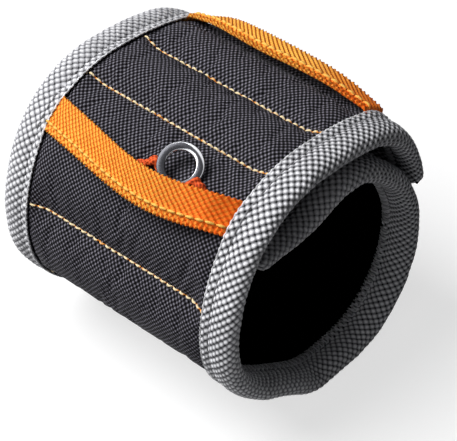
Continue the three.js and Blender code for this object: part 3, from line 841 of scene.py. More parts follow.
class WRISTBAND_OT_shell(bpy.types.Operator):
    """Make the padded outer cloth, sewn into panels and filled by its pads"""

    bl_idname = "wristband.shell"
    bl_label = "Outer shell"

    def execute(self, context):
        sizes, colours = settings(context)
        band = the_band(context)
        s, y, outer = shell_grid(context)
        _, out = band.way_at(s)
        inner = outer - out[:, None] * band.skin
        # The shell's tones paint light: 0.05 of its colour in the gaps is painted shade, 12 times it on the
        # crowns is a painted highlight in place of gloss
        tones = [scaled(colours.shell, factor) for factor in (0.05, 2.0, 12)]
        pitch = (sizes.shell_pitch * 1.08, sizes.shell_pitch * 0.94)
        material = the_material(
            woven_material, "ballistic cloth", tones, pitch, (0.2, 0.6, 1.0), 0.25 * MM, 0.55, 0.03)
        made = sheet_sections("outer_cloth", band, s, y, outer, inner, material, "outer_shell")
        for section, piece in made:
            follow(piece, section, band)
        return {"FINISHED"}


# The lining: spacing of its points along the band, points across it, and spacing of its crowns
LINING_CELL, LINING_COLUMNS, LINING_PITCH = 1.2 * MM, 61, 0.4 * MM


class WRISTBAND_OT_lining(bpy.types.Operator):
    """Make the lining on the wrist side"""

    bl_idname = "wristband.lining"
    bl_label = "Lining"

    def execute(self, context):
        colours = context.scene.wristband_colours
        band = the_band(context)
        s = band.steps(LINING_CELL, 0.0, band.length)
        y = np.linspace(-band.cloth_half, band.cloth_half, LINING_COLUMNS)
        grid_s, grid_y = s[:, None], y[None, :]
        seam = hump(band.to_seam(grid_s), 1.6 * MM)
        soft = ripple(grid_s + 0.2 * grid_y, 41, 23 * MM) * ripple(grid_y, 43, 19 * MM)
        inside = smooth((band.lap - np.abs(grid_y)) / (5 * MM))
        drop = band.lining_bottom + MM * (0.45 * seam - 0.12 * np.abs(soft)) * inside
        inner = band.at(grid_s, grid_y, drop)
        outer = band.at(grid_s, grid_y, np.maximum(drop + 0.35 * MM, band.lining_top))
        easing = band.dented(s)[:, None] * smooth((42 * MM - np.abs(grid_y)) / (4 * MM))
        for face in (inner, outer):
            face += (rounded(face, round(DENT_EASING / LINING_CELL)) - face) * easing[..., None]
        # The lining's near-black colour is painted shade inside the cuff; its darker gaps and brighter crowns
        # are painted shade and highlight
        tones = [scaled(colours.lining, factor) for factor in (0.3, 1, 2)]
        pitch = (LINING_PITCH, LINING_PITCH)
        material = the_material(
            woven_material, "lining cloth", tones, pitch, (0.1, 0.5, 0.9), 0.1 * MM, 0.88, 0.0)
        for section, piece in sheet_sections("lining_cloth", band, s, y, outer, inner, material, "lining"):
            follow(piece, section, band)
        return {"FINISHED"}


# The grey edge webbing: across (mm), share of the height from its lower to its upper face, and rise (mm)
BINDING_OUTLINE = (
    (34.5, 1, -0.42), (34.8, 1, -0.08), (35.5, 1, 0.06), (36.4, 1, -0.12), (37.1, 1, -0.55), (37.9, 1, -0.12),
    (39.2, 1, 0.2), (41.0, 1, 0.28), (42.8, 1, -0.1), (44.2, 0.87, 0), (45.0, 0.68, 0), (45.25, 0.5, 0),
    (45.0, 0.32, 0), (44.2, 0.13, 0), (42.8, 0, 0.1), (41.0, 0, -0.28), (39.2, 0, -0.2), (37.9, 0, 0.12),
    (37.1, 0, 0.55), (36.4, 0, 0.12), (35.5, 0, -0.06), (34.8, 0, 0.08), (34.5, 0, 0.42),
)
# Spacing of the webbing's points along it
BINDING_CELL = 0.42 * MM
# Points round the webbing, along the long edges and at the ends, and steps that their outlines are read in
BINDING_COLUMNS, END_COLUMNS = 76, 62
OUTLINE_STEPS, END_STEPS = 900, 600
# Where its stitched groove runs, and the height of its crowns
GROOVE_ACROSS = 37.1 * MM
WEAVE_RISE = 0.45 * MM
# How far the webbing stands up over a tool strap's end
STRAP_RISE = 0.95 * MM
# Loops past each end of the band, as distances from it
END_LOOPS = np.array([1.2, 1.05, 0.85, 0.6, 0.3]) * MM
# Rounding of the corners at the closure flap's end and at the inner flap's
FLAP_CORNER, INNER_CORNER = 5 * MM, 2 * MM
# Places across the band where the webbing steps down from a strap, its cut edge wavers, its rim begins to
# puff, and the easing of its inner lap ends
STEP_PLACE, WAVER_PLACE, RIM_PLACE, LAP_PLACE = 39.5 * MM, 36 * MM, 37.6 * MM, 43 * MM
# How softly the webbing follows the band's sharp turns
BEND_EASING = 2.2 * MM
# The stitches in the groove: spacing and length
GROOVE_PITCH, GROOVE_STITCH = 2.9 * MM, 2.2 * MM
# The cord along the cut edge: how many loops it leaves free at each end, and the spacing of its plies
CORD_ENDS, CORD_PITCH = 12, 1.24 * MM
# The open stitches: how many columns they lie on, and their spacing
OPEN_COLUMNS, OPEN_PITCH = 14, 2.35 * MM
# One open stitch over the inner cut edge: along the band, and across it (mm)
OPEN_STITCH = np.array([
    (0.0, 34.5), (0.02, 35.1), (0.05, 35.8), (0.1, 36.4), (0.35, 36.75), (0.8, 36.8), (1.15, 36.55),
    (1.25, 36.0), (1.3, 35.2), (1.35, 34.5),
])


def binding_rows(band, count):
    """The webbing's outline, evenly spaced, with the distance round it."""
    rows = curve_through(BINDING_OUTLINE, OUTLINE_STEPS)
    height = (band.binding_top(np.array([band.length / 2]))[0] - band.binding_bottom) / MM
    flat = np.stack([rows[:, 0], rows[:, 1] * height + rows[:, 2]], 1)
    gone = gone_along(flat)
    even = np.linspace(0, gone[-1], count)
    return between(even, gone, rows), even * MM


def strap_lift(band, s):
    """How far the binding rises where it passes over the end of a tool strap."""
    rise = np.zeros_like(s)
    for turn in (FRONT_STRAP_TURN, REAR_STRAP_TURN):
        rise = np.maximum(rise, 1 - smooth((np.abs(s - band.distance(turn)) - 4.8 * MM) / (2.2 * MM)))
    return rise


def binding_surface(band, s, rows, side):
    """Base points of the webbing folded over one long edge."""
    top, bottom = band.binding_top(s)[:, None], band.binding_bottom
    across = rows[:, 0][None, :] * MM
    share, rise = rows[:, 1][None, :], rows[:, 2][None, :] * MM
    tip = np.minimum(s + END_LOOPS[0], band.length + END_LOOPS[0] - s)
    corner = np.where(s > band.length / 2, INNER_CORNER, FLAP_CORNER)
    across = band.lap + (across - band.lap) * (0.35 + 0.65 * quarter_round(tip / corner))[:, None]
    middle = (top + bottom) / 2
    n = bottom + (top - bottom) * share + rise
    n = middle + (n - middle) * (0.12 + 0.88 * quarter_round(tip / (1.6 * MM)))[:, None]
    over = smooth((STEP_PLACE - across) / (3 * MM)) * smooth((share - 0.8) / 0.2)
    n = n + over * (strap_lift(band, s) * STRAP_RISE)[:, None]
    rim = smooth((across - RIM_PLACE) / (2.5 * MM))
    puff = ripple(s, 3 + side, 17 * MM) * 0.26 + ripple(s, 31 + side, 5.5 * MM) * 0.13
    swell = np.sign(share - 0.5 + 1e-9) * np.abs(2 * share - 1)
    n = n + rim * puff[:, None] * MM * swell
    waver = 0.22 * ripple(s + 9 * MM, 17 + side, 15 * MM)[:, None]
    across = across + rim * MM * waver * (1 - np.abs(2 * share - 1))
    edge = smooth((WAVER_PLACE - across) / (1.2 * MM))
    across = across + edge * MM * 0.14 * np.cos(2 * np.pi * s / (1.9 * MM))[:, None]
    points = band.at(s[:, None], side * across, n)
    soft, softer = (rounded(points, round(reach / BINDING_CELL)) for reach in (BEND_EASING, DENT_EASING))
    lap = smooth((0.35 - share) / 0.3) * smooth((LAP_PLACE - across) / (4 * MM)) * band.dented(s)[:, None]
    inner = smooth((np.minimum(s, band.length - s) - 2 * MM) / (5 * MM))[:, None]
    for axis in (0, 2):
        eased = soft[..., axis] + (softer[..., axis] - soft[..., axis]) * lap
        points[..., axis] += (eased - points[..., axis]) * inner
    return points


def rounded(points, reach):
    """The rows averaged with their neighbours, so that sharp turns of the band become soft ones."""
    steps = np.arange(-3 * reach, 3 * reach + 1)
    weights = np.exp(-0.5 * (steps / reach) ** 2)
    before = 2 * points[:1] - points[3 * reach:0:-1]
    after = 2 * points[-1:] - points[-2: -3 * reach - 2: -1]
    long = np.concatenate([before, points, after])
    total = sum(w * long[i: i + len(points)] for i, w in enumerate(weights))
    return total / weights.sum()


def tape_object(name, base, s, v, pitch, thickness, material, sections):
    """Webbing with its weave in the mesh: outer face from base, inner face thickness below it."""
    normal = outward(base, grid_normals(base, False))
    crowns = smooth((woven(s[:, None], v[None, :], pitch) - 0.04) / 0.72)
    outer = base + normal * ((crowns - 0.55) * WEAVE_RISE)[..., None]
    every = np.unique(np.append(np.arange(0, base.shape[1], 4), base.shape[1] - 1))
    inner = (base - normal * thickness)[:, every]
    loops = on_floor(np.concatenate([outer, inner[:, ::-1]], 1))
    round_v = round_the_loop(v, thickness, v[every])
    shade = outward(loops, grid_normals(loops, True))
    made = []
    for section, (first, last) in sections.items():
        part = slice(first, last + 1)
        full_name = f"{name}_{section}" if section else name
        made.append((section, loop_object(full_name, loops[part], s[part], round_v, material, shade[part])))
    return made


def on_grid(grid, s, places, columns):
    """Points of a grid at places along it and at broken columns."""
    low = np.minimum(columns.astype(int), grid.shape[1] - 2)
    share = (columns - low)[None, :, None]
    first, second = (
        np.stack([between(places[:, i], s, grid[:, column]) for i, column in enumerate(low + step)], 1)
        for step in (0, 1))
    return first * (1 - share) + second * share


class WRISTBAND_OT_binding(bpy.types.Operator):
    """Make the grey webbing folded over both long edges and both ends, with its rows of stitches"""

    bl_idname = "wristband.binding"
    bl_label = "Edge binding"

    def execute(self, context):
        sizes, colours = settings(context)
        band = the_band(context)
        pitch = sizes.binding_pitch
        # The webbing's tones paint light: 0.02 of its colour in the gaps is painted shade, 2.15 times it on
        # the crowns is a painted highlight
        tones = [scaled(colours.binding, factor) for factor in (0.02, 0.74, 2.15)]
        material = the_material(
            woven_material, "grey webbing", tones, (pitch, pitch), (0.12, 0.5, 1.0), 0.17 * MM, 0.5, 0.08,
            gaps=(0.9, 0.6, 0.7))
        threads = [
            the_material(thread_material, name, tuple(thread), scaled(thread, factor))
            for name, thread, factor in (("binding thread", colours.binding_thread, 0.5),
                                         ("selvage thread", colours.selvage, 0.6))]
        steps = band.steps(BINDING_CELL, 0.0, band.length)
        s = np.concatenate([-END_LOOPS, steps, band.length + END_LOOPS[::-1]])
        rows, v = binding_rows(band, BINDING_COLUMNS)
        sections = {section: [nearest(s, end) for end in ends] for section, ends in band.sections.items()}
        sections["flap"][0] = 0
        sections["inner"][1] = len(s) - 1
        for edge, side in (("near", -1), ("far", 1)):
            base = binding_surface(band, s, rows, side)
            made = tape_object(f"edge_webbing_{edge}", base, s, v, pitch, band.tape, material, sections)
            for section, piece in made:
                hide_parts(f"edge_binding_{edge}_{section}")
                follow(piece, section, band)
            self.stitches(band, edge, side, threads[0])
            self.selvage(band, edge, s, base, rows, sections, threads[1])
        self.end_webbing(band, sizes, material)
        return {"FINISHED"}

    def stitches(self, band, edge, side, thread):
        """Two rows of stitches in the groove, one on each face."""
        share = np.linspace(0, 1, 6)
        depth = (0.62 - 0.32 * np.sin(np.pi * share)) * MM
        radii = stitch_radii(share, 0.24 * MM, swell=0.55)
        for section, (start, end) in band.sections.items():
            starts = np.arange(start + GROOVE_PITCH / 2, end - GROOVE_PITCH / 2, GROOVE_PITCH)
            s = starts[:, None] + share * GROOVE_STITCH
            across = side * GROOVE_ACROSS
            top = band.binding_top(s) - depth + strap_lift(band, s) * STRAP_RISE
            centres = np.concatenate([band.at(s, across, n) for n in (top, band.binding_bottom + depth)])
            _, out = band.way_at(s)
            ups = np.concatenate([out, -out])
            clear = centres[..., 2].min(1) > 0.35 * MM
            piece = tubes(f"edge_stitches_{edge}_{section}", centres[clear], ups[clear], radii, 6, thread)
            follow(piece, section, band)

    def selvage(self, band, edge, s, base, rows, sections, material):
        """A fine cord along the outer cut edge, and a row of open stitches over the inner one."""
        # The cord and the open stitches are near white: a painted highlight along the cut edges
        normal = outward(base, grid_normals(base, False))
        inner = np.arange(len(rows) - OPEN_COLUMNS, len(rows))
        columns = np.interp(-OPEN_STITCH[:, 1], -rows[inner, 0], inner)
        for section, (first, last) in sections.items():
            part = slice(max(first, CORD_ENDS), min(last, len(s) - 1 - CORD_ENDS) + 1)
            ups = normal[part, 1]
            cord = on_floor(base[part, 1] + ups * 0.12 * MM, 0.35 * MM)
            radii = (0.28 + 0.05 * np.cos(2 * np.pi * s[part] / CORD_PITCH)) * MM
            piece = tubes(f"selvage_cord_{edge}_{section}", cord[None], ups[None], radii, 6, material)
            follow(piece, section, band)
            starts = np.arange(s[part][0] + 1 * MM, s[part][-1] - 2 * MM, OPEN_PITCH)
            places = starts[:, None] + OPEN_STITCH[None, :, 0] * MM
            ups = on_grid(normal, s, places, columns)
            centres = on_grid(base, s, places, columns) + ups * 0.42 * MM
            clear = centres[..., 2].min(1) > 0.3 * MM
            if clear.any():
                radii = np.full(len(OPEN_STITCH), 0.25 * MM)
                name = f"open_stitches_{edge}_{section}"
                follow(tubes(name, centres[clear], ups[clear], radii, 5, material), section, band)

    def end_webbing(self, band, sizes, material):
        """Webbing folded over the band's two ends."""
        lap, low = sizes.binding_lap, band.binding_bottom
        y = np.arange(-band.lap + 0.2 * MM, band.lap - 0.1 * MM, BINDING_CELL)
        ends = (("flap", 0.0, 1, "closure_flap"), ("inner", band.length, -1, "inner_flap"))
        for name, end, way, body in ends:
            tip, top = (float(band.binding_top(np.array([end + way * back]))[0]) for back in (0, lap))
            outline = [
                (lap, top - 0.42 * MM), (lap - 0.3 * MM, top - 0.05 * MM), (lap - 2 * MM, top - 0.1 * MM),
                (lap - 2.7 * MM, top - 0.5 * MM), (lap - 3.5 * MM, (top + tip) / 2),
                (3 * MM, tip + 0.15 * MM), (0.2 * MM, tip - 0.1 * MM), (-0.8 * MM, tip - 0.9 * MM),
                (-1.1 * MM, (tip + low) / 2), (-0.8 * MM, low + 0.9 * MM), (0.2 * MM, low + 0.1 * MM),
                (3 * MM, low - 0.15 * MM), (lap - 3.5 * MM, low), (lap - 2.7 * MM, low + 0.4 * MM),
                (lap - 2 * MM, low + 0.1 * MM), (lap - 0.3 * MM, low + 0.05 * MM), (lap, low + 0.42 * MM),
            ]
            rows = curve_through(outline, END_STEPS)
            gone = gone_along(rows)
            even = np.linspace(0, gone[-1], END_COLUMNS)
            back, n = between(even, gone, rows).T
            base = band.at((end + way * back)[None, :], y[:, None], n[None, :])
            made = tape_object(f"end_webbing_{name}", base, y - y[0], even, sizes.binding_pitch, band.tape,
                               material, {"": (0, len(y) - 1)})
            piece = made[0][1]
            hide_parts(f"end_binding_{name}")
            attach(piece, body)


# The cross seams: space between stitches, and how far past the binding's edge they reach
SEAM_SPACE, SEAM_REACH = 0.3 * MM, 0.6 * MM
STITCH_POINTS = 8


class WRISTBAND_OT_seams(bpy.types.Operator):
    """Sew the cross seams in orange thread, paler at the middle of each stitch as a painted highlight and at
    random along it
    """

    bl_idname = "wristband.seams"
    bl_label = "Cross seams"

    def execute(self, context):
        sizes, colours = settings(context)
        band = the_band(context)
        # Pale is a painted highlight at each stitch's middle; dark is the thread's orange, shaded where it
        # dives
        pale, dark = tuple(colours.thread), tuple(colours.thread_dark)
        thread = the_material(thread_material, "seam thread", pale, dark)
        s, y, outer = shell_grid(context)
        pitch, reach = sizes.stitch_length + SEAM_SPACE, band.lap + SEAM_REACH
        share = np.linspace(0, 1, STITCH_POINTS)
        starts = np.arange(-reach, reach - pitch / 2, pitch)
        across = starts[:, None] + share * sizes.stitch_length
        rise = (-0.08 + 0.5 * np.sin(np.pi * share)) * MM
        radii = stitch_radii(share, 0.33 * MM)
        sections = {"closure": "flap", "band": "upper", "inner": "inner"}
        for name, place in band.seams.items():
            # The rear strap covers the first seam
            if name == "first":
                continue
            line = between(across, y, outer[nearest(s, place)])
            _, out = band.way_at(np.full_like(across, place))
            centres = on_floor(line + out * rise[None, :, None], 0.42 * MM)
            piece = tubes(f"seam_thread_{name}", centres, out, radii, 7, thread)
            if name in sections:
                follow(piece, sections[name], band)
            else:
                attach(piece, "upper" if name == "second" else "base")
        return {"FINISHED"}


# The orange tool straps

# Each strap's name, turn, sag towards the front, lift, skew and lean in the middle, and body
STRAPS = (
    ("front", FRONT_STRAP_TURN, 3.7 * MM, 6.3 * MM, 0.25, 1.5 * MM, "upper"),
    ("rear", REAR_STRAP_TURN, 7.9 * MM, 2.3 * MM, -0.03, 0.6 * MM, "closure_flap"),
)
# Spacing of the points along a strap, and points across it
STRAP_CELL, STRAP_COLUMNS = 0.3 * MM, 36
# Shares of a strap's half width where its stitched cord line runs, and where its ribs begin
CORD_SHARE, RIBS_SHARE = 0.52, 0.58
# Height of the straps' crowns, and spacing of the loops along their edges and of their stitches
STRAP_WEAVE_RISE = 0.42 * MM
SELVAGE_PITCH = 1.25 * MM
STRAP_STITCH_PITCH = 2.6 * MM
# How far from the near end the painted shade, darker and redder, reaches
NEAR_SHADE_REACH = 30 * MM


def strap_points(band, sizes, place, sag, lift, skew, lean, y, a):
    """Points on the top of a strap: y across the band, a across the strap's width."""
    reach = band.lap - band.gap
    part = np.clip(y / reach, -1, 1)
    bow = np.cos(np.pi / 2 * np.clip(part + skew * (1 - part**2), -1, 1))
    half = sizes.strap_width / 2
    s = place + sag * bow
    seat = np.max([band.skin_top(s + k * half, y) for k in (-1, 0, 1)], 0)
    fall = half**2 / 2 / band.radius
    under = smooth((np.abs(y) - band.lap + 1.2 * MM) / (2 * MM))
    n = seat + (band.gap + fall) * (1 - under) + lift * bow + sizes.strap_thickness * (1 - 0.25 * under)
    centre = band.at(s, y, n)
    along, out = band.way_at(s)
    turned = -lean * bow[:, None] * a[None, :] / half
    return centre[:, None] + along[:, None] * a[None, :, None] + out[:, None] * turned[..., None], out


class WRISTBAND_OT_straps(bpy.types.Operator):
    """Make the two orange tool straps, woven, with looped selvages and a raised cord line"""

    bl_idname = "wristband.straps"
    bl_label = "Tool straps"

    def execute(self, context):
        sizes, colours = settings(context)
        band = the_band(context)
        pitch = sizes.strap_pitch
        orange, red, cord = colours.strap, colours.strap_near_shade, colours.strap_thread
        # Painted light on the strap's weave: gaps darker and redder are painted shade, crowns brighter and
        # yellower are a painted highlight
        tones = (scaled(orange, 0.5, 0.21, 0.15), tuple(orange), scaled(orange, 1.05, 1.9, 3.4))
        # The near tones are painted shade: darker and redder towards the strap's near end
        near = (scaled(red, 0.95, 0.57, 0.38), tuple(red), scaled(red, 1, 1.4, 2))
        material = the_material(
            woven_material, "orange webbing", tones, (pitch, pitch), (0.1, 0.5, 0.97), 0.24 * MM, 0.6, 0.1,
            gaps=(0.9, 0.35, 0.25), near=(near, NEAR_SHADE_REACH))
        thread = the_material(thread_material, "strap thread", tuple(cord), scaled(cord, 1, 0.75, 0.6))
        reach, half = band.lap + 2.2 * MM, sizes.strap_width / 2
        y = np.linspace(-reach, reach, round(2 * reach / STRAP_CELL))
        a = np.linspace(-half, half, STRAP_COLUMNS)
        from_edge, from_cord = half - np.abs(a), a - half * CORD_SHARE
        loops = smooth(1 - from_edge / (0.9 * MM))
        beads = np.cos(2 * np.pi * y / SELVAGE_PITCH)[:, None]
        crowns = smooth((woven(y[:, None], a + half, pitch) - 0.1) / 0.75) * STRAP_WEAVE_RISE
        crowns = np.where(a > half * RIBS_SHARE, (0.5 + 0.5 * beads) * STRAP_WEAVE_RISE, crowns)
        crowns = crowns * (1 - 0.6 * loops) * (1 - 0.5 * hump(from_cord, 0.5 * MM))
        relief = crowns + hump(from_cord, 0.42 * MM) * 0.34 * MM + loops * (0.1 + 0.26 * beads) * MM
        relief = (relief - 0.1 * MM)[..., None]
        thick = sizes.strap_thickness * (1 - 0.55 * smooth(1 - from_edge / (0.5 * MM)))
        v = round_the_loop(a + half, sizes.strap_thickness)
        for name, turn, sag, lift, skew, lean, body in STRAPS:
            place = band.distance(turn)
            grid, out = strap_points(band, sizes, place, sag, lift, skew, lean, y, a)
            along, _ = band.way_at(np.full_like(y, place))
            grid = grid + along[:, None] * (np.sign(a) * loops * 0.24 * MM * beads)[..., None]
            top = grid + out[:, None] * relief
            bottom = grid - out[:, None] * (thick - crowns * 0.5)[..., None]
            ring = np.concatenate([top, bottom[:, ::-1]], 1)
            shade = outward(ring, grid_normals(ring, True))
            piece = loop_object(f"tool_strap_webbing_{name}", ring, y - y[0], v, material, shade)
            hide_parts(f"tool_strap_{name}")
            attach(piece, body)
            self.stitches(name, y, top[:, nearest(a, half * CORD_SHARE)], out, thread, body)
        return {"FINISHED"}

    def stitches(self, name, y, line, out, thread, body):
        """The row of stitches along the strap's cord line."""
        starts = np.arange(y[0], y[-1] - STRAP_STITCH_PITCH, STRAP_STITCH_PITCH)
        share = np.linspace(0, 1, STITCH_POINTS)
        place = starts[:, None] + share * STRAP_STITCH_PITCH * 0.86
        line, ups = (between(place, y, rows) for rows in (line, out))
        centres = line + ups * (0.26 * np.sin(np.pi * share) * MM)[None, :, None]
        radii = stitch_radii(share, 0.4 * MM, ends=0.5)
        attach(tubes(f"strap_stitches_{name}", centres, ups, radii, 6, thread), body)


# The split ring and the loop that holds it

# The keeper loop: its ends, measured from the band's middle towards the near and the far side, its lift
# off the cloth, its rise over one limb of the ring and fall under the other, and its thickness
KEEPER_NEAR, KEEPER_FAR = 26 * MM, 1 * MM
KEEPER_LIFT, KEEPER_WEAVE = 2.4 * MM, 1.9 * MM
KEEPER_THICKNESS = 1.0 * MM
# How far the ring sits from the keeper's middle, along the band and across it
RING_SHIFT = (0.4 * MM, -0.5 * MM)
# Places along the keeper from its middle (mm): shift towards the strap (mm), extra height (mm), size
KEEPER_PATH = (
    (-14.9, 1.5, -1.6, 0.9), (-12.5, 0.8, -0.4, 1.0), (-9.5, -0.5, 0.5, 1.15), (-7.6, -0.8, 0.8, 1.2),
    (-5.8, 1.3, -0.5, 0.9), (-3.4, 2.4, -1.4, 0.7), (0.0, 2.4, -1.4, 0.7), (2.4, 2.0, -1.0, 0.75),
    (4.8, 1.6, -0.3, 0.9), (6.6, -0.3, 1.2, 1.25), (8.4, -0.2, 1.0, 1.2), (10.4, 1.4, -0.2, 1.0),
    (14.9, 2.6, -1.6, 0.9),
)
# The cord: half its width and height, its run past each end, points round and along it, and the spacing
# of its crowns and of its twist
KEEPER_WIDE, KEEPER_TALL, KEEPER_END = 1.15 * MM, 0.95 * MM, 1.4 * MM
KEEPER_SIDES, KEEPER_STEPS = 28, 160
KEEPER_PITCH, KEEPER_TWIST = 0.62 * MM, 2.1 * MM
# How far the ring is turned about the band's length and about its width
RING_TILT, RING_LEAN = math.radians(18), math.radians(4)
# Middle radius of the ring's wire, and the angle of the side where the painted highlight on its edges is
# widest
RING_MIDDLE, HIGHLIGHT_SIDE = 5.58 * MM, math.radians(178)
# The ring's wire: its height, the rounding of its edges and its rise from one turn to the next; the angle
# where it starts and the angle that it rises over; its sections, and the spacing of their points in the look
WIRE_HEIGHT, WIRE_EDGE, WIRE_RISE = 0.76 * MM, 0.2 * MM, 0.82 * MM
WIRE_START, WIRE_STEP = math.radians(20), math.radians(48)
WIRE_STEPS, WIRE_CELL = 190, 0.4 * MM


def keeper_height(band, sizes, y):
    """Height of the keeper loop's underside where it passes over and under the ring."""
    middle, reach = (KEEPER_FAR - KEEPER_NEAR) / 2, (KEEPER_FAR + KEEPER_NEAR) / 2
    limb = (sizes.ring_diameter + sizes.ring_hole) / 4
    place = band.distance(KEEPER_TURN)
    bow = np.maximum(np.cos(np.pi / 2 * (y - middle) / reach), 0)
    weave = np.sin(np.pi / 2 * np.clip((middle - y) / limb, -1, 1))
    seat = band.skin_top(place, middle) * bow + band.skin_top(np.full_like(y, place), y) * (1 - bow)
    return seat + band.gap + KEEPER_LIFT * np.sqrt(bow) + KEEPER_WEAVE * weave * bow


class WRISTBAND_OT_ring(bpy.types.Operator):
    """Make the two-turn split ring and the woven loop that it hangs on"""

    bl_idname = "wristband.ring"
    bl_label = "Split ring and keeper"

    def execute(self, context):
        sizes, colours = settings(context)
        band = the_band(context)
        self.keeper(band, sizes, colours)
        self.split_ring(band, sizes, colours)
        return {"FINISHED"}

    def keeper(self, band, sizes, colours):
        """The twisted cord, thickest on both sides of the ring."""
        red = colours.keeper
        # The keeper's tones paint light: 0.35 of its colour in the gaps is painted shade, the brighter crowns
        # a painted highlight
        tones = (scaled(red, 0.35), tuple(red), scaled(red, 1.2, 1.8, 2.5))
        material = the_material(
            woven_material, "red webbing", tones, (KEEPER_PITCH, KEEPER_PITCH), (0.1, 0.5, 0.95), 0.14 * MM,
            0.7, 0.2)
        place = band.distance(KEEPER_TURN)
        middle = (KEEPER_FAR - KEEPER_NEAR) / 2
        y = np.linspace(-KEEPER_NEAR - KEEPER_END, KEEPER_FAR + KEEPER_END, KEEPER_STEPS)
        stations, *tracks = np.array(KEEPER_PATH).T
        soften = np.hanning(13) / np.hanning(13).sum()
        tracks = (np.interp(y - middle, stations * MM, track) for track in tracks)
        aside, rise, size = (np.convolve(np.pad(track, 6, "edge"), soften, "valid") for track in tracks)
        angle = np.linspace(0, 2 * np.pi, KEEPER_SIDES, endpoint=False)
        n = keeper_height(band, sizes, y) + KEEPER_THICKNESS / 2 + rise * MM
        centre = band.at(place + aside * MM, y, n)
        along, out = band.way_at(np.full_like(y, place))
        up = np.cross(unit(np.gradient(centre, axis=0)), along)
        up *= np.sign(np.einsum("ij,ij->i", up, out))[:, None]
        twist = 2 * angle[None, :] + 2 * np.pi * y[:, None] / KEEPER_TWIST
        lumps = (1 + 0.2 * np.cos(twist)) * size[:, None]
        wide, tall = np.cos(angle)[:, None] * KEEPER_WIDE, np.sin(angle)[:, None] * KEEPER_TALL
        ring = centre[:, None] + (along[:, None] * wide + up[:, None] * tall) * lumps[..., None]
        v = np.arange(1, KEEPER_SIDES + 1) * THREAD_CELL
        shade = outward(ring, grid_normals(ring, True))
        piece = loop_object("ring_keeper_webbing", ring, y - y[0], v, material, shade)
        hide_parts("ring_keeper_loop")
        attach(piece, "upper")

    def split_ring(self, band, sizes, colours):
        """Two turns of flat wire, with the step where one turn passes to the other."""
        material = the_material(ring_material, "plated steel", tuple(colours.steel))
        outer, hole = sizes.ring_diameter / 2, sizes.ring_hole / 2
        turn = np.linspace(0, 4 * np.pi - WIRE_STEP, WIRE_STEPS)
        level = (smooth((turn - (2 * np.pi - WIRE_STEP)) / WIRE_STEP) - 0.5) * WIRE_RISE
        wide, high = (outer - hole) / 2 - WIRE_EDGE, WIRE_HEIGHT / 2 - WIRE_EDGE
        profile = []
        for quarter, (x, z) in enumerate(((wide, high), (-wide, high), (-wide, -high), (wide, -high))):
            for k in range(4):
                a = math.pi / 2 * (quarter + k / 3)
                profile.append((x + WIRE_EDGE * math.cos(a), z + WIRE_EDGE * math.sin(a)))
        profile = np.array(profile)
        middle = (outer + hole) / 2
        radial = middle + profile[None, :, 0]
        x = radial * np.cos(turn + WIRE_START)[:, None]
        z = radial * np.sin(turn + WIRE_START)[:, None]
        grid = np.stack([x, level[:, None] + profile[None, :, 1], z], -1)
        grid = grid - np.array([(sizes.ring_hole - 2 * MM) / 2 - band.gap, 0, 0])
        tilt = Matrix.Rotation(RING_LEAN, 3, "Z") @ Matrix.Rotation(-RING_TILT, 3, "X")
        grid = grid @ np.array(tilt).T
        place = band.distance(KEEPER_TURN)
        y = np.array([(KEEPER_FAR - KEEPER_NEAR) / 2])
        along, out = band.way_at(np.array([place]))
        basis = np.stack([along[0], out[0], np.cross(along[0], out[0])])
        held = keeper_height(band, sizes, y)[0] + KEEPER_THICKNESS / 2
        centre = band.at(place + RING_SHIFT[0], y[0] + RING_SHIFT[1], held)
        points = centre + grid @ basis
        v = np.arange(len(profile)) * WIRE_CELL
        piece = loop_object("split_ring_wire", points, turn * middle, v, material)
        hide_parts("split_ring")
        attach(piece, "ring")


# The closure tapes: half their width, the hook tape's ends along the band, and how far the loop tape
# stays in from its own; their thickness, the hooks' spacing, and the tapes' points along and across
TAPE_HALF, HOOK_ENDS = 30 * MM, (10.8 * MM, 50.8 * MM)
LOOP_INSET, LOOP_SHARE = 5.25 * MM, 0.16
HOOK_THICKNESS, LOOP_THICKNESS, HOOK_SPACING = 0.4 * MM, 0.75 * MM, 1.5 * MM
TAPE_CELL, TAPE_COLUMNS = 0.8 * MM, 70


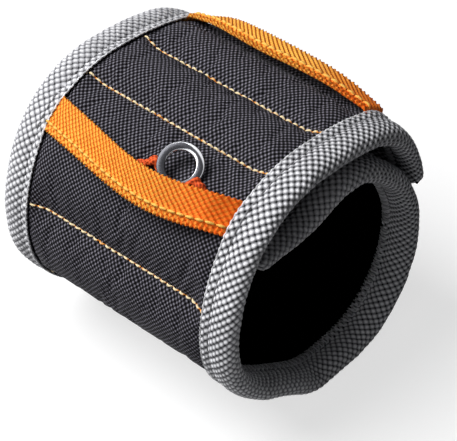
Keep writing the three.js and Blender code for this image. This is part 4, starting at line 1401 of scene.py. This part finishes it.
class WRISTBAND_OT_inside(bpy.types.Operator):
    """Finish the foam pads, the disc magnets and the two closure tapes"""

    bl_idname = "wristband.inside"
    bl_label = "Pads, magnets and closure tapes"

    def execute(self, context):
        colours = context.scene.wristband_colours
        band = the_band(context)
        nickel = the_material(metal_material, "nickel", tuple(colours.magnet), 0.3, (1, 1, 1))
        for name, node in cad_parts.items():
            if name.startswith("magnet_"):
                node.data.materials.clear()
                node.data.materials.append(nickel)
        self.pads(colours)
        self.tapes(band, colours)
        return {"FINISHED"}

    def pads(self, colours):
        """Each pad keeps its pockets, with its cut edges eased and its faces cellular."""
        foam = the_material(foam_material, "foam", tuple(colours.foam))
        bodies = {"flap": "closure_flap", "top": "upper", "strap": "upper", "inner": "inner_flap"}
        for panel in PANEL_NAMES[1:]:
            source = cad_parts[f"foam_pad_{panel}"]
            pad = bpy.data.objects.new(f"soft_pad_{panel}", source.data.copy())
            bpy.context.scene.collection.objects.link(pad)
            pad.matrix_world = source.matrix_world.copy()
            bevel = pad.modifiers.new("Eased edges", "BEVEL")
            bevel.width, bevel.segments, bevel.limit_method = 0.25 * MM, 2, "ANGLE"
            bevel.angle_limit = math.radians(50)
            bpy.context.view_layer.update()
            done = pad.evaluated_get(bpy.context.evaluated_depsgraph_get())
            pad.data = bpy.data.meshes.new_from_object(done)
            pad.modifiers.clear()
            pad.data.materials.clear()
            pad.data.materials.append(foam)
            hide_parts(f"foam_pad_{panel}")
            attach(pad, bodies.get(panel, "base"))

    def tapes(self, band, colours):
        """Hook tape under the closure flap, loop tape on the inner flap."""
        pile = the_material(pile_material, "loop pile", tuple(colours.hook), 0.4 * MM)
        hook = the_material(pile_material, "hook tape", scaled(colours.hook, 1.4), 0.1 * MM)
        low, high = HOOK_ENDS
        level = band.lining_bottom - band.gap
        self.slab(band, "hook_tape", low, high, lambda s, y: level, HOOK_THICKNESS, hook,
                  "hook_patch", "closure_flap")
        s = np.arange(low + 1.2 * MM, high - 1 * MM, HOOK_SPACING)
        y = np.arange(-TAPE_HALF + 1.2 * MM, TAPE_HALF - 1 * MM, HOOK_SPACING)
        grid_s, grid_y = (g.ravel() for g in np.meshgrid(s, y, indexing="ij"))
        grid_s = grid_s + 0.12 * MM * np.sin(grid_y * 9000)
        lean = np.array([0, 0, 0.04, 0.16, 0.34]) * MM
        down = np.array([0.3, 0.55, 0.72, 0.8, 0.7]) * MM
        centres = band.at(grid_s[:, None] + lean, grid_y[:, None], level - down)
        ups = np.broadcast_to(np.array([0.0, 1.0, 0.0]), centres.shape)
        hooks = tubes("hooks", centres, ups, np.array([0.15, 0.12, 0.1, 0.09, 0.05]) * MM, 5, hook)
        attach(hooks, "closure_flap")
        overlap = band.seams["second"] - band.seams["closure"]
        start = band.seams["inner"] + LOOP_SHARE * overlap + LOOP_INSET
        end = band.distance(LOOP_END_TURN) - LOOP_INSET
        self.slab(band, "loop_tape", start, end, lambda s, y: band.skin_top(s, y) + 1.0 * MM,
                  LOOP_THICKNESS, pile, "loop_patch", "inner_flap")

    def slab(self, band, name, start, end, top, thickness, material, node, body):
        """A tape with a slightly uneven face, lying along the band."""
        s = np.linspace(start, end, round((end - start) / TAPE_CELL))
        y = np.linspace(-TAPE_HALF, TAPE_HALF, TAPE_COLUMNS)
        grid_s, grid_y = s[:, None], y[None, :]
        height = top(grid_s, grid_y)
        rough = ripple(grid_s + 0.4 * grid_y, 71, 2.4 * MM) * ripple(grid_y, 73, 2.1 * MM)
        outer = band.at(grid_s, grid_y, height + 0.06 * MM * rough)
        inner = band.at(grid_s, grid_y, height - thickness)
        loops = np.concatenate([outer, inner[:, ::-1]], 1)
        v = round_the_loop(y, thickness)
        piece = loop_object(name, loops, s, v, material)
        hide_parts(node)
        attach(piece, body)


# Floor, light and camera

# The camera: its angle above the floor and round the band, its distance, the shift of its aim, and its lens
CAMERA_ELEVATION, CAMERA_AZIMUTH = math.radians(42.70), math.radians(-48.78)
CAMERA_DISTANCE = 596.9 * MM
CAMERA_SHIFT = (3.00 * MM, -4.73 * MM)
IMAGE_WIDTH, FOCAL_PIXELS, SENSOR = 457, 1972.0, 36.0
FLOOR_REACH = 4.0
# What the floor throws back and what is seen of it, and how its glow grows with the distance in metres
FLOOR_THROWN, FLOOR_SEEN = 0.14, 0.4
GLOW_FROM, GLOW_TO, GLOW_NEAR, GLOW_FAR = 0.1, 0.6, 0.67, 0.95
# The surroundings: their light, and how bright they are seen
SKY_LIGHT, SKY_SEEN = 0.045, 0.95
# Each light's name, place in metres, size and power
LIGHTS = (
    ("key", (-0.38, 0.34, 0.86), 0.66, 12.8),
    ("fill_left", (-0.98, -0.1, 0.4), 0.7, 1.5),
    ("fill_right", (0.8, 0.45, 0.6), 0.6, 0.1),
)


def seen_directly(tree):
    """1 for what the camera or a gloss sees, 0 for the light that is thrown on other things."""
    path = put(tree, "ShaderNodeLightPath")
    return sum_of(tree, "MAXIMUM", path.outputs["Is Camera Ray"], path.outputs["Is Glossy Ray"])


class WRISTBAND_OT_stage(bpy.types.Operator):
    """Set the floor, the lights and the camera"""

    bl_idname = "wristband.stage"
    bl_label = "Floor, light and camera"

    def execute(self, context):
        colours = context.scene.wristband_colours
        band = the_band(context)
        scene = context.scene
        corners = [(x * FLOOR_REACH, y * FLOOR_REACH, 0) for x, y in ((-1, -1), (1, -1), (1, 1), (-1, 1))]
        floor = make_object("floor", corners, [(0, 1, 2, 3)], self.paper(tuple(colours.floor)))
        aim = Vector(band.origin)
        for name, spot, size, power in LIGHTS:
            data = bpy.data.lights.new(name, "AREA")
            data.shape, data.size, data.energy = "DISK", size, power
            light = bpy.data.objects.new(name, data)
            scene.collection.objects.link(light)
            light.location = Vector(spot)
            light.rotation_euler = (Vector(spot) - aim).to_track_quat("Z", "Y").to_euler()
        self.sky(scene)
        self.camera(scene, aim)
        scene.view_settings.view_transform = "Standard"
        return {"FINISHED"}

    def paper(self, colour):
        """Pale paper that the camera sees a little lifted, and that throws little light back up."""
        material, tree, shader = plain_material("paper floor", colour, 0.9)
        seen = seen_directly(tree)
        dark, pale = ((*scaled(colour, factor), 1) for factor in (FLOOR_THROWN, FLOOR_SEEN))
        tree.links.new(mixed_colour(tree, seen, dark, pale), shader.inputs["Base Color"])
        shader.inputs["Emission Color"].default_value = (1, 1, 1, 1)
        away = put(tree, "ShaderNodeVectorMath", {"operation": "LENGTH"}, _0=object_place(tree))
        glow = (GLOW_FROM, GLOW_TO, GLOW_NEAR, GLOW_FAR)
        lifted = spread(tree, away.outputs["Value"], *glow, "SMOOTHSTEP")
        tree.links.new(sum_of(tree, "MULTIPLY", seen, lifted), shader.inputs["Emission Strength"])
        return material

    def sky(self, scene):
        """Pale surroundings that read as white to the camera and in gloss."""
        world = scene.world or bpy.data.worlds.new("surroundings")
        scene.world = world
        world.use_nodes = True
        tree = world.node_tree
        tree.nodes.clear()
        strength = spread(tree, seen_directly(tree), 0, 1, SKY_LIGHT, SKY_SEEN)
        light = put(tree, "ShaderNodeBackground", Color=(0.97, 0.98, 1.0, 1), Strength=strength)
        out = put(tree, "ShaderNodeOutputWorld")
        tree.links.new(light.outputs[0], out.inputs[0])

    def camera(self, scene, aim):
        """The camera looks at the band from above, its near edge and its left."""
        el, az = CAMERA_ELEVATION, CAMERA_AZIMUTH
        back = Vector((math.sin(az) * math.cos(el), -math.cos(az) * math.cos(el), math.sin(el)))
        right = Vector((math.cos(az), math.sin(az), 0))
        up = back.cross(right)
        data = bpy.data.cameras.new("camera")
        data.sensor_width, data.sensor_fit = SENSOR, "HORIZONTAL"
        data.lens = FOCAL_PIXELS / IMAGE_WIDTH * SENSOR
        data.clip_start, data.clip_end = 0.01, 20
        camera = bpy.data.objects.new("camera", data)
        scene.collection.objects.link(camera)
        camera.rotation_euler = Matrix((right, up, back)).transposed().to_euler()
        camera.location = aim + right * CAMERA_SHIFT[0] + up * CAMERA_SHIFT[1] + back * CAMERA_DISTANCE
        scene.camera = camera


class WRISTBAND_PT_panel(bpy.types.Panel):
    """Lists the wristband's sizes, colours and pieces"""

    bl_idname = "WRISTBAND_PT_panel"
    bl_label = "Magnetic wristband"
    bl_space_type = "VIEW_3D"
    bl_region_type = "UI"
    bl_category = "Wristband"

    def draw(self, context):
        layout = self.layout
        for group in settings(context):
            box = layout.box()
            for name in group.__annotations__:
                box.prop(group, name)
        for piece in PIECES:
            layout.operator(piece.bl_idname)


PIECES = (
    WRISTBAND_OT_shell, WRISTBAND_OT_lining, WRISTBAND_OT_binding, WRISTBAND_OT_seams,
    WRISTBAND_OT_straps, WRISTBAND_OT_ring, WRISTBAND_OT_inside, WRISTBAND_OT_stage,
)
CLASSES = (WristbandSizes, WristbandColours, *PIECES, WRISTBAND_PT_panel)


def register():
    """Add the settings, the pieces' operators and the panel."""
    for cls in CLASSES:
        bpy.utils.register_class(cls)
    bpy.types.Scene.wristband_sizes = bpy.props.PointerProperty(type=WristbandSizes)
    bpy.types.Scene.wristband_colours = bpy.props.PointerProperty(type=WristbandColours)


def unregister():
    """Take the settings, the operators and the panel away again."""
    del bpy.types.Scene.wristband_colours
    del bpy.types.Scene.wristband_sizes
    for cls in reversed(CLASSES):
        bpy.utils.unregister_class(cls)


def main():
    """Register the add-on, then make every piece in turn."""
    register()
    for piece in PIECES:
        group, call = piece.bl_idname.split(".")
        if "FINISHED" not in getattr(getattr(bpy.ops, group), call)():
            raise RuntimeError(f"{piece.bl_label} wasn't made")


if __name__ == "__main__":
    main()
